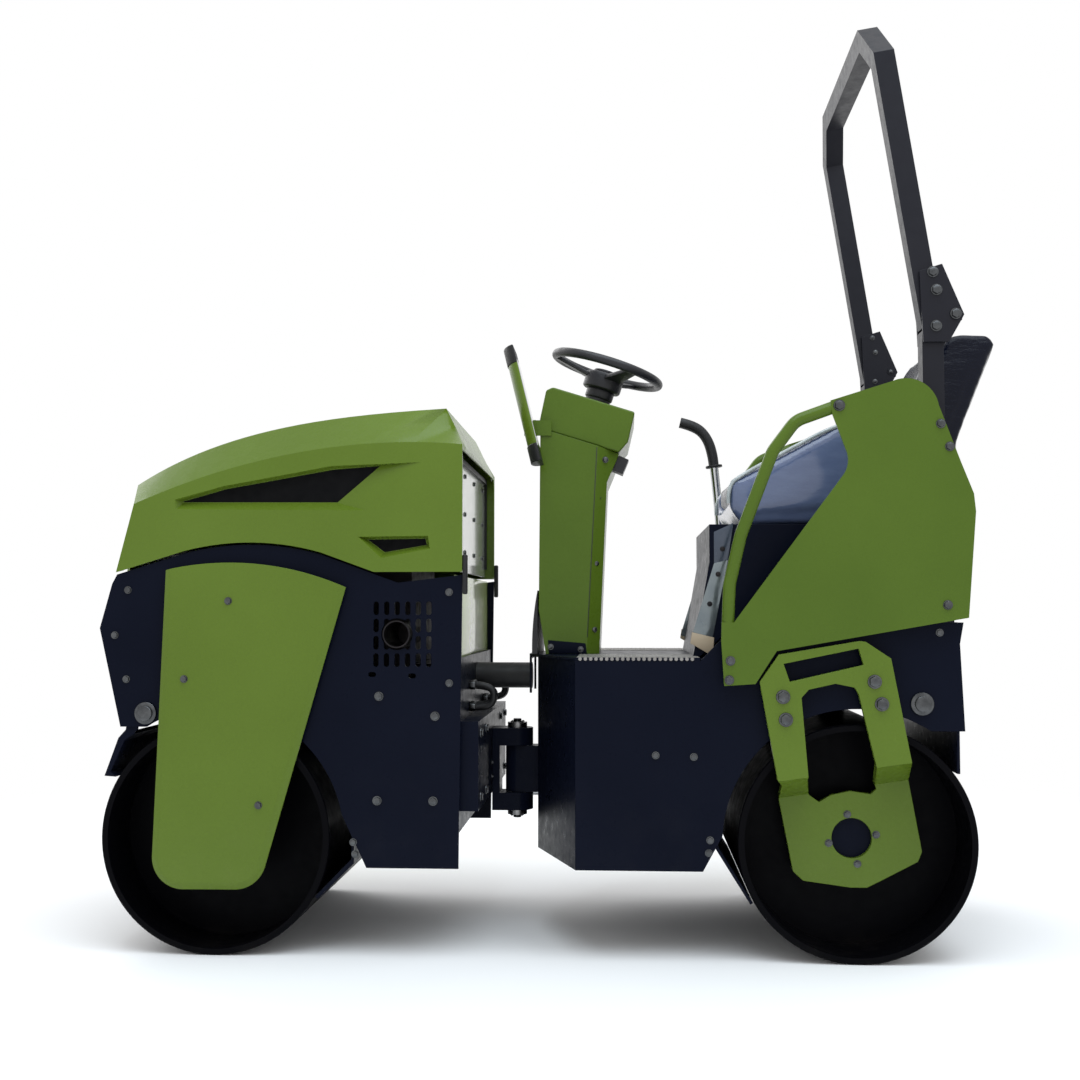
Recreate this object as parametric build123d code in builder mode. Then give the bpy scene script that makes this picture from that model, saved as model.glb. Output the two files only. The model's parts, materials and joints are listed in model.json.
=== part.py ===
from build123d import *
import os
from math import atan2, cos, radians, sin, sqrt, tan

os.makedirs("parts", exist_ok=True)

# Small ride-on tandem road roller, hinged in the middle. Millimetres.
# +X is forward, +Y is to the driver's left, +Z is up. Z = 0 is the ground, and
# the origin lies on the ground under the middle of the whole machine.

# Drums and wheelbase
drum_radius = 280.0
drum_width = 800.0
drum_wall = 16.0
drum_edge_round = 6.0
drum_web_wall = 14.0
drum_recess = 150.0
wheelbase = 1534.0
front_axle_x = 817.0
hub_radius = 75.0
hub_barrel_radius = 60.0
hub_flange_wall = 14.0
axle_radius = 30.0
axle_stub_length = 34.0
running_gap = 0.05
seat_gap = 0.3
moving_gap = 6.0

# Frames
frame_side_gap = 5.0
frame_wall = 8.0
frame_bottom_z = 213.0
arch_gap = 36.0
plate_gap = 5.0
scraper_wall = 8.0

# Hinge between the two frames
hinge_x = 115.0
hinge_z = 408.0
hinge_pin_radius = 16.0
hinge_boss_radius = 31.0
hinge_boss_height = 122.0
hinge_web_width = 70.0
fork_gap = 1.0
fork_ear_wall = 46.0
fork_width = 84.0
fork_back_wall = 20.0
pin_cap_radius = 26.0
pin_cap_wall = 14.0
swivel_housing_radius = 58.0
swivel_shaft_radius = 26.0
swivel_shaft_length = 120.0
front_wall_x = 225.0
cross_member_depth = 45.0
cross_member_height = 214.0
cross_member_half_width = 380.0
steer_arm_reach = 100.0
steer_arm_wall = 16.0
steer_eye_radius = 24.0
steer_pin_radius = 6.0
steer_eye_slack = 14.0
cylinder_base_x = -245.0
cylinder_radius = 24.0
cylinder_wall = 4.0
rod_radius = 11.0
cylinder_length = 230.0

# Rear frame
rear_front_x = 54.0
rear_front_half_flat = 94.0
rear_corner_x = -54.0
rear_lip = 22.0
floor_z = 716.0
floor_wall = 8.0
lip_foot_z = 613.0
lip_wall = 6.0
lip_border = 6.0
sleeve_z = 655.0
sleeve_radius = 34.0
sleeve_length = 150.0
floor_rear_x = -352.0
tail_x = -968.0
tail_wall_x = -951.0
tail_top_z = 800.0
tail_foot_z = 545.0
deck_z = 1040.0
deck_wall = 4.0
deck_half_width = 300.0
seat_board_x = -381.0

# Front frame and hood
nose_x = 1107.0
nose_z = 785.0
nose_foot_x = 1052.0
nose_foot_z = 546.0
grille_x = 362.0
grille_z = 771.0
grille_pitch_x = 25.6
grille_pitch_z = 41.5
grille_slot_length = 33.0
grille_slot_width = 13.0
exhaust_x = 375.0
exhaust_radius = 33.0
exhaust_wall = 3.0
exhaust_reach = 12.0
hood_overhang = 8.0
hood_side_slope_width = 75.0
hood_wall = 4.0
hood_rear_x = 217.0
hood_rear_top_x = 266.0
hood_crease_z = 1229.0
hood_top_z = 1327.0
hood_foot_x = 1066.0
hood_foot_z = 921.0
hood_valley_x = 374.0
hood_valley_z = 900.0
hood_rear_foot_z = 919.0
hood_crown_x = 735.0
hood_crown_z = 993.0
hood_pin_radius = 4.0
hood_barrel_radius = 8.0
hood_barrel_length = 60.0
hood_barrel_y = 260.0
hood_ear_wall = 6.0
hood_rear_rim = 10.0
hood_rear_opening = 400.0
hood_panel_x = 246.0
hood_panel_wall = 3.0
vent_depth = 20.0
vent_sheet = 3.0
vent_edge = 1.0
vent_screen_lap = 8.0
vent_screen_wall = 2.0
latch_width = 16.0
latch_depth = 12.0
latch_height = 96.0
tie_down_radius = 18.0
front_tie_down_x = 989.0
front_tie_down_z = 579.0
rear_tie_down_x = -869.0
rear_tie_down_z = 609.0
tie_down_reach = 14.0

# Drum legs
leg_reach = 25.0
leg_wall = 12.0
leg_fold_width = 18.0
leg_fold_depth = 8.0
yoke_reach = 32.0
yoke_wall = 16.0
yoke_inset = 88.0
yoke_hole_radius = 48.0
spacer_radius = 20.0

# Steering column, console and wheel
column_half_width = 160.0
column_wall = 3.0
column_bevel_back = 34.0
column_bevel_side = 22.0
console_half_width = 150.0
wheel_radius = 156.0
wheel_rim_radius = 12.0
wheel_x = -128.0
wheel_z = 1478.0
console_front_x = 12.0
console_front_z = 1409.0
console_rear_x = -201.0
console_rear_z = 1342.0

# Mirror
mirror_height = 300.0
mirror_width = 130.0
mirror_depth = 34.0
mirror_tilt = 13.6
mirror_x = 81.0
mirror_y = 236.0
mirror_z = 1345.0

# Seat and guards
seat_half_width = 230.0
seat_side_wall = 36.0
guard_reach = 35.0
guard_wall = 6.0
guard_tube_radius = 15.0

# Roll-over hoop
post_size = 50.0
post_wall = 4.0
post_reach = 15.0
post_x = -903.0
post_top_z = 1490.0
hoop_knee_z = 2158.0
hoop_crossbar_z = 2251.0
hoop_knee_y = 290.0
hoop_lean = 9.0
hoop_pin_radius = 10.0
cheek_wall = 8.0
cheek_gap = 1.0

rear_axle_x = front_axle_x - wheelbase
frame_half_width = drum_width / 2 + frame_side_gap
leg_outer_y = frame_half_width + leg_reach
yoke_outer_y = frame_half_width + yoke_reach
yoke_lower_y = drum_width / 2 - yoke_inset
guard_outer_y = frame_half_width + guard_reach
post_outer_y = frame_half_width + post_reach
hood_half_width = frame_half_width + hood_overhang
hood_top_half_width = hood_half_width - hood_side_slope_width
nose_top_x = hood_foot_x + 12
nose_top_z = hood_foot_z - 28
hood_pivot_x = hood_foot_x + 14
hood_pivot_z = hood_foot_z - 6
hoop_foot_z = post_top_z + 10
hoop_pivot_x = post_x - 52
hoop_pivot_z = post_top_z + 38
axle_z = drum_radius
drum_half = drum_width / 2
arch_radius = drum_radius + arch_gap
web_y = drum_half - drum_recess
cross_member_x = front_wall_x - cross_member_depth
fork_height = hinge_boss_height + 2 * (fork_gap + fork_ear_wall)
side_names = (("left", 1), ("right", -1))


def across(half, side=1):
    """The upright plane, facing sideways, that stands half from the middle."""
    return Plane.XZ.offset(-side * half)


def arc_x(radius, z):
    """How far ahead of the axle a circle about it stands at the height z."""
    return sqrt(radius**2 - (z - axle_z) ** 2)


def export(name, part):
    """Label a finished piece and write it to its own file."""
    part.label = name
    export_step(part, f"parts/{name}.step")


# Drums: a rolled shell, open at both ends, with a web set in from each end
def drum(axle_x):
    with BuildPart() as body:
        with BuildSketch(across(drum_half)):
            with Locations((axle_x, axle_z)):
                Circle(drum_radius)
        extrude(amount=drum_width)
        fillet(body.edges().filter_by(GeomType.CIRCLE), drum_edge_round)
        for side in (1, -1):
            with BuildSketch(across(drum_half, side)):
                with Locations((axle_x, axle_z)):
                    Circle(drum_radius - drum_wall)
            extrude(amount=side * drum_recess, mode=Mode.SUBTRACT)
        with BuildSketch(across(web_y - drum_web_wall)):
            with Locations((axle_x, axle_z)):
                Circle(drum_radius - drum_wall)
        extrude(amount=2 * (web_y - drum_web_wall), mode=Mode.SUBTRACT)
        with BuildSketch(across(drum_half)):
            with Locations((axle_x, axle_z)):
                Circle(axle_radius + running_gap)
        extrude(amount=drum_width, mode=Mode.SUBTRACT)
    return body.part


export("front_drum", drum(front_axle_x))
export("rear_drum", drum(rear_axle_x))


# Hub motors: each is bolted to its leg and carries the drum's web on a stub axle
def hubs(axle_x, leg_inner_y):
    barrel_end_y = web_y + moving_gap
    with BuildPart() as body:
        for side in (1, -1):
            for start_y, length, radius in (
                (leg_inner_y, hub_flange_wall, hub_radius),
                (leg_inner_y - hub_flange_wall, leg_inner_y - hub_flange_wall - barrel_end_y, hub_barrel_radius),
                (barrel_end_y, moving_gap + axle_stub_length, axle_radius),
            ):
                with BuildSketch(across(start_y, side)):
                    with Locations((axle_x, axle_z)):
                        Circle(radius)
                extrude(amount=side * length)
    return body.part


export("front_hubs", hubs(front_axle_x, leg_outer_y - leg_wall))
export("rear_hubs", hubs(rear_axle_x, yoke_lower_y - yoke_wall))


# Front frame: two side plates, a rear wall, a nose plate and a cross member
def hood_foot_line(drop):
    """The wavy line where the hood meets the frame, lowered by drop."""
    Line((hood_foot_x, hood_foot_z - drop), (900, 972 - drop))
    ThreePointArc((900, 972 - drop), (hood_crown_x, hood_crown_z - drop), (560, 968 - drop))
    Line((560, 968 - drop), (hood_valley_x, hood_valley_z - drop))
    Line((hood_valley_x, hood_valley_z - drop), (hood_rear_x, hood_rear_foot_z - drop))


arch_foot_x = front_axle_x + arc_x(arch_radius, nose_foot_z)
arch_rear_z = 340.0
arch_rear_x = front_axle_x - arc_x(arch_radius, arch_rear_z)
arch_top_z = axle_z + arch_radius
plate_foot_x = 446.0
front_inner_y = frame_half_width - frame_wall
with BuildPart() as front_frame:
    with BuildSketch(across(frame_half_width)):
        with BuildLine():
            hood_foot_line(plate_gap)
            Polyline(
                (hood_rear_x, hood_rear_foot_z - plate_gap),
                (front_wall_x, frame_bottom_z),
                (plate_foot_x, frame_bottom_z),
                (arch_rear_x, arch_rear_z),
            )
            ThreePointArc(
                (arch_rear_x, arch_rear_z), (front_axle_x, arch_top_z), (arch_foot_x, nose_foot_z)
            )
            Polyline(
                (arch_foot_x, nose_foot_z),
                (nose_foot_x, nose_foot_z),
                (nose_x, nose_z),
                (nose_top_x, nose_top_z),
                (hood_foot_x, hood_foot_z - plate_gap),
            )
        make_face()
        with Locations((grille_x, grille_z)):
            with GridLocations(grille_pitch_x, grille_pitch_z, 6, 4):
                SlotOverall(grille_slot_length, grille_slot_width, rotation=90, mode=Mode.SUBTRACT)
        with Locations((exhaust_x, grille_z)):
            Circle(exhaust_radius + plate_gap, mode=Mode.SUBTRACT)
        with Locations((435, 674), (338, 671)):
            SlotOverall(19, 12, mode=Mode.SUBTRACT)
        with Locations((front_tie_down_x, front_tie_down_z)):
            Circle(tie_down_radius + running_gap, mode=Mode.SUBTRACT)
    extrude(amount=frame_wall)
    mirror(about=Plane.XZ)
    wall_foot_z = 296.0
    wall_top_z = 712.0
    with BuildSketch(Plane.YZ.offset(front_wall_x)):
        with Locations((0, (wall_foot_z + wall_top_z) / 2)):
            Rectangle(2 * front_inner_y, wall_top_z - wall_foot_z)
    extrude(amount=frame_wall)
    with BuildSketch(across(front_inner_y)):
        with BuildLine():
            Polyline(
                (nose_foot_x, nose_foot_z),
                (nose_x, nose_z),
                (nose_top_x, nose_top_z),
                (nose_top_x - frame_wall, nose_top_z),
                (nose_x - frame_wall, nose_z),
                (nose_foot_x - frame_wall, nose_foot_z),
                close=True,
            )
        make_face()
    extrude(amount=2 * front_inner_y)
    # ears and pins for the hood's hinge
    for side in (1, -1):
        for ear_y in (hood_barrel_y + 1 + hood_ear_wall, hood_barrel_y - hood_barrel_length - 1):
            with BuildSketch(across(ear_y, side)):
                with BuildLine():
                    Polyline(
                        (nose_top_x - frame_wall, nose_top_z - 10),
                        (nose_top_x - frame_wall, nose_top_z + 2),
                        (hood_pivot_x - hood_barrel_radius, hood_pivot_z),
                        (hood_pivot_x + hood_barrel_radius, hood_pivot_z),
                        (nose_top_x, nose_top_z - 10),
                        close=True,
                    )
                make_face()
                with Locations((hood_pivot_x, hood_pivot_z)):
                    Circle(hood_barrel_radius)
            extrude(amount=side * hood_ear_wall)
        with BuildSketch(across(hood_barrel_y + 1 + hood_ear_wall, side)):
            with Locations((hood_pivot_x, hood_pivot_z)):
                Circle(hood_pin_radius)
        extrude(amount=side * (hood_barrel_length + 2 + 2 * hood_ear_wall))
    with BuildSketch(Plane.YZ.offset(front_wall_x)):
        with Locations((0, hinge_z + 45)):
            Rectangle(2 * cross_member_half_width, cross_member_height)
    extrude(amount=-cross_member_depth)
    # bearing tube for the rolling shaft
    with BuildSketch(Plane.YZ.offset(cross_member_x)):
        with Locations((0, hinge_z)):
            Circle(swivel_housing_radius)
    extrude(amount=swivel_shaft_length)
    with BuildSketch(Plane.YZ.offset(cross_member_x)):
        with Locations((0, hinge_z)):
            Circle(swivel_shaft_radius + running_gap)
    extrude(amount=swivel_shaft_length + 1, mode=Mode.SUBTRACT)
export("front_frame", front_frame.part)

for name, side in side_names:
    with BuildPart() as leg:
        with BuildSketch(across(leg_outer_y, side)) as leg_face:
            with BuildLine():
                Line((939, 926), (966, 160))
                Line((966, 160), (703, 162))
                Line((703, 162), (497, 884))
                ThreePointArc((497, 884), (720, 941), (939, 926))
            make_face()
            corners = leg_face.vertices().sort_by(Axis.Y)
            fillet(corners[:2], 76)
            fillet(corners[2:], 26)
        extrude(amount=side * leg_wall)
        outer_edges = leg.edges().filter_by(GeomType.LINE).group_by(Axis.Y)[-1 if side > 0 else 0]
        rear_edge = outer_edges.sort_by(SortBy.LENGTH)[-2:].sort_by(Axis.X)[0]
        chamfer(rear_edge, leg_fold_depth, leg_fold_width)
        with BuildSketch(across(leg_outer_y - leg_wall, side)):
            with Locations((782, 851), (888, 680), (600, 800)):
                Circle(spacer_radius)
        extrude(amount=side * (leg_outer_y - leg_wall - frame_half_width))
    export(f"front_leg_{name}", leg.part)


# Hood: a folded shell with a sloping band down each side, open below and in its rear rim
def hood_section(half, inset, is_top):
    """One closed outline of the hood, half from the middle; the shell's inside is inset."""
    out = 60.0 if inset else 0.0
    rear_z = (hood_top_z if is_top else hood_crease_z) - inset
    rear_x = (hood_rear_top_x if is_top else hood_rear_x) + inset
    front_x = (1041.0 if is_top else 1024.0) - inset
    front_z = (1141.0 if is_top else 1088.0) - inset
    mid_z = (1292.0 if is_top else 1211.0) - inset
    fore_z = (1218.0 if is_top else 1140.0) - inset
    elbow = (hood_rear_x + inset, hood_crease_z - inset - 1)
    with BuildSketch(across(half)) as section:
        with BuildLine():
            Polyline(
                (front_x, front_z),
                (hood_foot_x - inset, hood_foot_z - out),
                (hood_rear_x + inset, hood_foot_z - out),
                elbow,
                (rear_x, rear_z),
            )
            Spline((rear_x, rear_z), (622, mid_z), (892, fore_z), (front_x, front_z))
        make_face()
    return section.sketch


def hood_form(inset):
    """The hood as a solid: its middle block, with a sloping band lofted on each side."""
    top_half = hood_top_half_width - inset / 2
    half = hood_half_width - inset
    with BuildPart() as form:
        add(extrude(hood_section(top_half, inset, True), amount=2 * top_half, mode=Mode.PRIVATE))
        for side in (1, -1):
            upper = hood_section(side * top_half, inset, True)
            lower = hood_section(side * half, inset, False)
            add(loft([upper, lower], ruled=True, mode=Mode.PRIVATE))
    return form.part


# Vents: a mouth in the hood's side, and the smaller opening at the bottom of its recess
upper_mouth = ((922, 1098), (921, 1075), (451, 1070), (320, 1186), (537, 1178), (669, 1154), (800, 1131))
upper_opening = ((908, 1096), (906, 1092), (524, 1090), (417, 1181), (537, 1172), (669, 1149), (800, 1126))
lower_mouth = ((470, 1006), (300, 1008), (295, 977), (414, 955))
lower_opening = ((452, 1001), (308, 1003), (304, 986), (408, 968))
vents = ((upper_mouth, upper_opening), (lower_mouth, lower_opening))


def vent_recess(side, mouth, opening, set_back):
    """The tapering hollow of one vent, set back from the hood's side."""
    with BuildPart() as recess:
        for depth, outline in ((set_back, mouth), (set_back + vent_depth, opening)):
            with BuildSketch(across(hood_half_width - depth, side)):
                with BuildLine():
                    Polyline(*outline, close=True)
                make_face()
        loft(ruled=True)
    return recess.part


with BuildPart() as hood:
    add(hood_form(0.0))
    add(hood_form(hood_wall), mode=Mode.SUBTRACT)
    with BuildSketch(Plane.YZ.offset(hood_rear_x - 1)):
        with Locations((0, hood_crease_z - hood_rear_rim - hood_rear_opening / 2)):
            Rectangle(2 * (hood_half_width - hood_rear_rim), hood_rear_opening)
    extrude(amount=hood_wall + 3, mode=Mode.SUBTRACT)
    with BuildSketch(across(hood_half_width + 1)):
        with BuildLine():
            hood_foot_line(0.0)
            Polyline(
                (hood_rear_x, hood_rear_foot_z),
                (hood_rear_x - 10, hood_rear_foot_z),
                (hood_rear_x - 10, hood_foot_z - 100),
                (hood_foot_x + 10, hood_foot_z - 100),
                (hood_foot_x + 10, hood_foot_z),
                (hood_foot_x, hood_foot_z),
            )
        make_face()
    extrude(amount=2 * (hood_half_width + 1), mode=Mode.SUBTRACT)
    for side in (1, -1):
        for mouth, opening in vents:
            add(vent_recess(side, mouth, opening, vent_sheet))
            add(vent_recess(side, mouth, opening, 0.0), mode=Mode.SUBTRACT)
            with BuildSketch(across(hood_half_width, side)):
                with BuildLine():
                    Polyline(*opening, close=True)
                make_face()
                offset(amount=-vent_edge, kind=Kind.INTERSECTION)
            extrude(amount=side * (vent_depth + vent_sheet + vent_edge), mode=Mode.SUBTRACT)
    # hinge barrels at the foot of the front
    for side in (1, -1):
        with BuildSketch(across(hood_barrel_y, side)):
            with BuildLine():
                Polyline(
                    (hood_pivot_x, hood_pivot_z - 8),
                    (hood_pivot_x, hood_pivot_z + 8),
                    (hood_foot_x - 4, hood_foot_z + 16),
                    (hood_foot_x - 4, hood_foot_z),
                    close=True,
                )
            make_face()
            with Locations((hood_pivot_x, hood_pivot_z)):
                Circle(hood_barrel_radius)
        extrude(amount=side * hood_barrel_length)
        with BuildSketch(across(hood_barrel_y + 1, side)):
            with Locations((hood_pivot_x, hood_pivot_z)):
                Circle(hood_pin_radius + running_gap)
        extrude(amount=side * (hood_barrel_length + 2), mode=Mode.SUBTRACT)
export("hood", hood.part)

with BuildPart() as hood_rear_panel:
    with BuildSketch(Plane.YZ.offset(hood_panel_x)):
        with Locations((0, 1072)):
            Rectangle(2 * (hood_half_width - hood_wall), 290)
    extrude(amount=hood_panel_wall)
export("hood_rear_panel", hood_rear_panel.part)

with BuildPart() as vent_screens:
    for side in (1, -1):
        for mouth, opening in vents:
            with BuildSketch(across(hood_half_width - vent_depth - vent_sheet - seat_gap, side)):
                with BuildLine():
                    Polyline(*opening, close=True)
                make_face()
                offset(amount=vent_screen_lap, kind=Kind.INTERSECTION)
            extrude(amount=side * vent_screen_wall)
export("vent_screens", vent_screens.part)

# Rubber draw latches on the rear rim of the hood
with BuildPart() as hood_latches:
    for side in (1, -1):
        with BuildSketch(across(hood_half_width - 1, side)):
            with Locations((hood_rear_x - seat_gap - latch_depth / 2, hood_rear_foot_z - 4)):
                RectangleRounded(latch_depth, latch_height, 4)
        extrude(amount=side * latch_width)
export("hood_latches", hood_latches.part)

with BuildPart() as engine_block:
    with Locations((560, 0, 800)):
        Box(380, 420, 340)
    with Locations((410, 0, 660)):
        Box(340, 300, 60)
    for side in (1, -1):
        with Locations((560, side * 300, 640)):
            Box(60, 194, 24)
export("engine_block", engine_block.part)

with BuildPart() as exhaust_pipe:
    with BuildSketch(across(frame_half_width + exhaust_reach)):
        with Locations((exhaust_x, grille_z)):
            Circle(exhaust_radius)
            Circle(exhaust_radius - exhaust_wall, mode=Mode.SUBTRACT)
    extrude(amount=frame_half_width + exhaust_reach - 210)
export("exhaust_pipe", exhaust_pipe.part)

# Lashing bars through the side plates, before and behind
for name, bar_x, bar_z in (
    ("front_tie_down", front_tie_down_x, front_tie_down_z),
    ("rear_tie_down", rear_tie_down_x, rear_tie_down_z),
):
    with BuildPart() as tie_down:
        with BuildSketch(across(frame_half_width + tie_down_reach)):
            with Locations((bar_x, bar_z)):
                Circle(tie_down_radius)
        extrude(amount=2 * (frame_half_width + tie_down_reach))
    export(name, tie_down.part)

# Knuckle: a fork that swings on the upright pin, with the rolling shaft ahead of it
with BuildPart() as knuckle:
    back_x = cross_member_x - fork_gap
    ear_z = hinge_boss_height / 2 + fork_gap
    for level in (hinge_z + ear_z, hinge_z - ear_z - fork_ear_wall):
        with BuildSketch(Plane.XY.offset(level)):
            with Locations(((hinge_x + back_x) / 2, 0)):
                Rectangle(back_x - hinge_x, fork_width)
            with Locations((hinge_x, 0)):
                Circle(fork_width / 2)
                Circle(hinge_pin_radius + running_gap, mode=Mode.SUBTRACT)
        extrude(amount=fork_ear_wall)
    with BuildSketch(Plane.YZ.offset(back_x)):
        with Locations((0, hinge_z)):
            Rectangle(fork_width, fork_height)
    extrude(amount=-fork_back_wall)
    with BuildSketch(Plane.YZ.offset(back_x)):
        with Locations((0, hinge_z)):
            Circle(swivel_shaft_radius)
    extrude(amount=swivel_shaft_length)
    # arm for the steering cylinder, on the right
    arm_z = hinge_z - ear_z - fork_ear_wall
    with BuildSketch(Plane.XY.offset(arm_z)):
        with Locations((hinge_x + 4, -steer_arm_reach / 2 - 10)):
            Rectangle(44, steer_arm_reach - 20)
        with Locations((hinge_x, -steer_arm_reach)):
            Circle(22)
    extrude(amount=steer_arm_wall)
    with BuildSketch(Plane.XY.offset(arm_z + steer_arm_wall)):
        with Locations((hinge_x, -steer_arm_reach)):
            Circle(steer_pin_radius)
    extrude(amount=40)
export("knuckle", knuckle.part)

with BuildPart() as hinge_pin:
    with BuildSketch(Plane.XY.offset(hinge_z - fork_height / 2 - pin_cap_wall)):
        with Locations((hinge_x, 0)):
            Circle(pin_cap_radius)
    extrude(amount=pin_cap_wall)
    with BuildSketch(Plane.XY.offset(hinge_z - fork_height / 2)):
        with Locations((hinge_x, 0)):
            Circle(hinge_pin_radius)
    extrude(amount=fork_height)
    with BuildSketch(Plane.XY.offset(hinge_z + fork_height / 2)):
        with Locations((hinge_x, 0)):
            Circle(pin_cap_radius)
    extrude(amount=pin_cap_wall)
export("hinge_pin", hinge_pin.part)

# Steering cylinder: base eye in the rear frame, rod eye over the knuckle's arm
rod_z = arm_z + steer_arm_wall + 4 + 13
eye_height = 26.0
eye_bore = steer_pin_radius + steer_eye_slack
with BuildPart() as steering_barrel:
    with BuildSketch(Plane.XY.offset(rod_z - eye_height / 2)):
        with Locations((cylinder_base_x, -steer_arm_reach)):
            Circle(steer_eye_radius)
    extrude(amount=eye_height)
    neck_length = steer_eye_radius + 6
    with BuildSketch(Plane.YZ.offset(cylinder_base_x)):
        with Locations((-steer_arm_reach, rod_z)):
            Rectangle(30, eye_height)
    extrude(amount=neck_length)
    with BuildSketch(Plane.YZ.offset(cylinder_base_x + neck_length)):
        with Locations((-steer_arm_reach, rod_z)):
            Circle(cylinder_radius)
    extrude(amount=cylinder_length - neck_length)
    with BuildSketch(Plane.YZ.offset(cylinder_base_x + 40)):
        with Locations((-steer_arm_reach, rod_z)):
            Circle(cylinder_radius - cylinder_wall)
    extrude(amount=cylinder_length - 54, mode=Mode.SUBTRACT)
    with BuildSketch(Plane.YZ.offset(cylinder_base_x + cylinder_length)):
        with Locations((-steer_arm_reach, rod_z)):
            Circle(rod_radius + running_gap)
    extrude(amount=-30, mode=Mode.SUBTRACT)
    with BuildSketch(Plane.XY.offset(rod_z - eye_height / 2)):
        with Locations((cylinder_base_x, -steer_arm_reach)):
            Circle(steer_pin_radius + running_gap)
    extrude(amount=eye_height, mode=Mode.SUBTRACT)
export("steering_barrel", steering_barrel.part)

with BuildPart() as steering_rod:
    with BuildSketch(Plane.XY.offset(rod_z - eye_height / 2)):
        with Locations((hinge_x, -steer_arm_reach)):
            Circle(eye_bore + 8)
    extrude(amount=eye_height)
    piston_x = cylinder_base_x + 118
    with BuildSketch(Plane.YZ.offset(piston_x)):
        with Locations((-steer_arm_reach, rod_z)):
            Circle(rod_radius)
    extrude(amount=hinge_x - piston_x)
    with BuildSketch(Plane.YZ.offset(piston_x)):
        with Locations((-steer_arm_reach, rod_z)):
            Circle(cylinder_radius - cylinder_wall - running_gap)
    extrude(amount=14)
    with BuildSketch(Plane.XY.offset(rod_z - eye_height / 2)):
        with Locations((hinge_x, -steer_arm_reach)):
            Circle(eye_bore)
    extrude(amount=eye_height, mode=Mode.SUBTRACT)
export("steering_rod", steering_rod.part)

# Rear frame: side plates, a swept front wall, cross walls and the hinge boss
arch_start_z = 297.0
arch_start_x = rear_axle_x + arc_x(arch_radius, arch_start_z)
arch_end_x = rear_axle_x - arc_x(arch_radius, tail_foot_z)
plate_rear_foot_x = -355.0
wall_top_z = floor_z - floor_wall
with BuildPart() as rear_frame:
    with BuildSketch(across(frame_half_width)):
        with BuildLine():
            Polyline(
                (arch_end_x, tail_foot_z),
                (tail_x, tail_foot_z),
                (tail_wall_x - frame_wall, 750),
                (tail_x, tail_top_z),
                (-440, tail_top_z),
                (floor_rear_x, wall_top_z),
                (rear_corner_x, wall_top_z),
                (rear_corner_x, frame_bottom_z),
                (plate_rear_foot_x, frame_bottom_z),
                (arch_start_x, arch_start_z),
            )
            ThreePointArc((arch_start_x, arch_start_z), (rear_axle_x, arch_top_z), (arch_end_x, tail_foot_z))
        make_face()
        with Locations((rear_tie_down_x, rear_tie_down_z)):
            Circle(tie_down_radius + running_gap, mode=Mode.SUBTRACT)
    extrude(amount=frame_wall)
    mirror(about=Plane.XZ)
    with BuildSketch(Plane.XY.offset(frame_bottom_z)):
        with BuildLine():
            Polyline(
                (rear_corner_x, frame_half_width),
                (rear_front_x, rear_front_half_flat),
                (rear_front_x, -rear_front_half_flat),
                (rear_corner_x, -frame_half_width),
                (rear_corner_x - frame_wall, -frame_half_width),
                (rear_front_x - frame_wall, -rear_front_half_flat),
                (rear_front_x - frame_wall, rear_front_half_flat),
                (rear_corner_x - frame_wall, frame_half_width),
                close=True,
            )
        make_face()
    extrude(amount=wall_top_z - frame_bottom_z)
    inner_width = 2 * (frame_half_width - frame_wall)
    with BuildSketch(Plane.YZ.offset(plate_rear_foot_x)):
        with Locations((0, 440)):
            Rectangle(inner_width, 240)
    extrude(amount=frame_wall)
    with BuildSketch(Plane.YZ.offset(tail_wall_x)):
        with Locations((0, 672)):
            Rectangle(inner_width, 240)
    extrude(amount=-frame_wall)
    # cover over the rear drum, sloping down to the floor under the seat's foot
    with BuildSketch(across(frame_half_width)):
        with BuildLine():
            Polyline(
                (tail_wall_x, tail_top_z - seat_gap),
                (-454, tail_top_z - seat_gap),
                (-362, floor_z - 4),
                (-354, floor_z - 4),
                (-354, floor_z - 15),
                (-456, 790),
                (tail_wall_x, 790),
                close=True,
            )
        make_face()
    extrude(amount=2 * frame_half_width)
    # hinge boss on a web ahead of the front wall
    with BuildSketch(Plane.XY.offset(hinge_z - hinge_boss_height / 2)):
        with Locations(((rear_front_x - frame_wall + hinge_x) / 2, 0)):
            Rectangle(hinge_x - rear_front_x + frame_wall, hinge_web_width - 8)
        with Locations((hinge_x, 0)):
            Circle(hinge_boss_radius)
    extrude(amount=hinge_boss_height)
    with BuildSketch(Plane.XY.offset(hinge_z - hinge_boss_height / 2)):
        with Locations((hinge_x, 0)):
            Circle(hinge_pin_radius + running_gap)
    extrude(amount=hinge_boss_height, mode=Mode.SUBTRACT)
    # window for the hose sleeve, and one for the steering cylinder
    with Locations((rear_front_x, 0, 652)):
        Box(60, 180, 100, mode=Mode.SUBTRACT)
    with Locations((rear_front_x - 20, -steer_arm_reach, rod_z)):
        Box(80, 124, 90, mode=Mode.SUBTRACT)
    # base bracket of the steering cylinder, hung from the cross wall
    base_ear_z = rod_z + eye_height / 2 + 1
    with BuildSketch(Plane.XY.offset(base_ear_z)):
        with Locations(((cylinder_base_x + plate_rear_foot_x) / 2, -steer_arm_reach)):
            Rectangle(cylinder_base_x - plate_rear_foot_x, 50)
        with Locations((cylinder_base_x, -steer_arm_reach)):
            Circle(25)
    extrude(amount=12)
    with BuildSketch(Plane.XY.offset(rod_z - eye_height / 2)):
        with Locations((cylinder_base_x, -steer_arm_reach)):
            Circle(steer_pin_radius)
    extrude(amount=eye_height + 1)
export("rear_frame", rear_frame.part)

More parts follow.
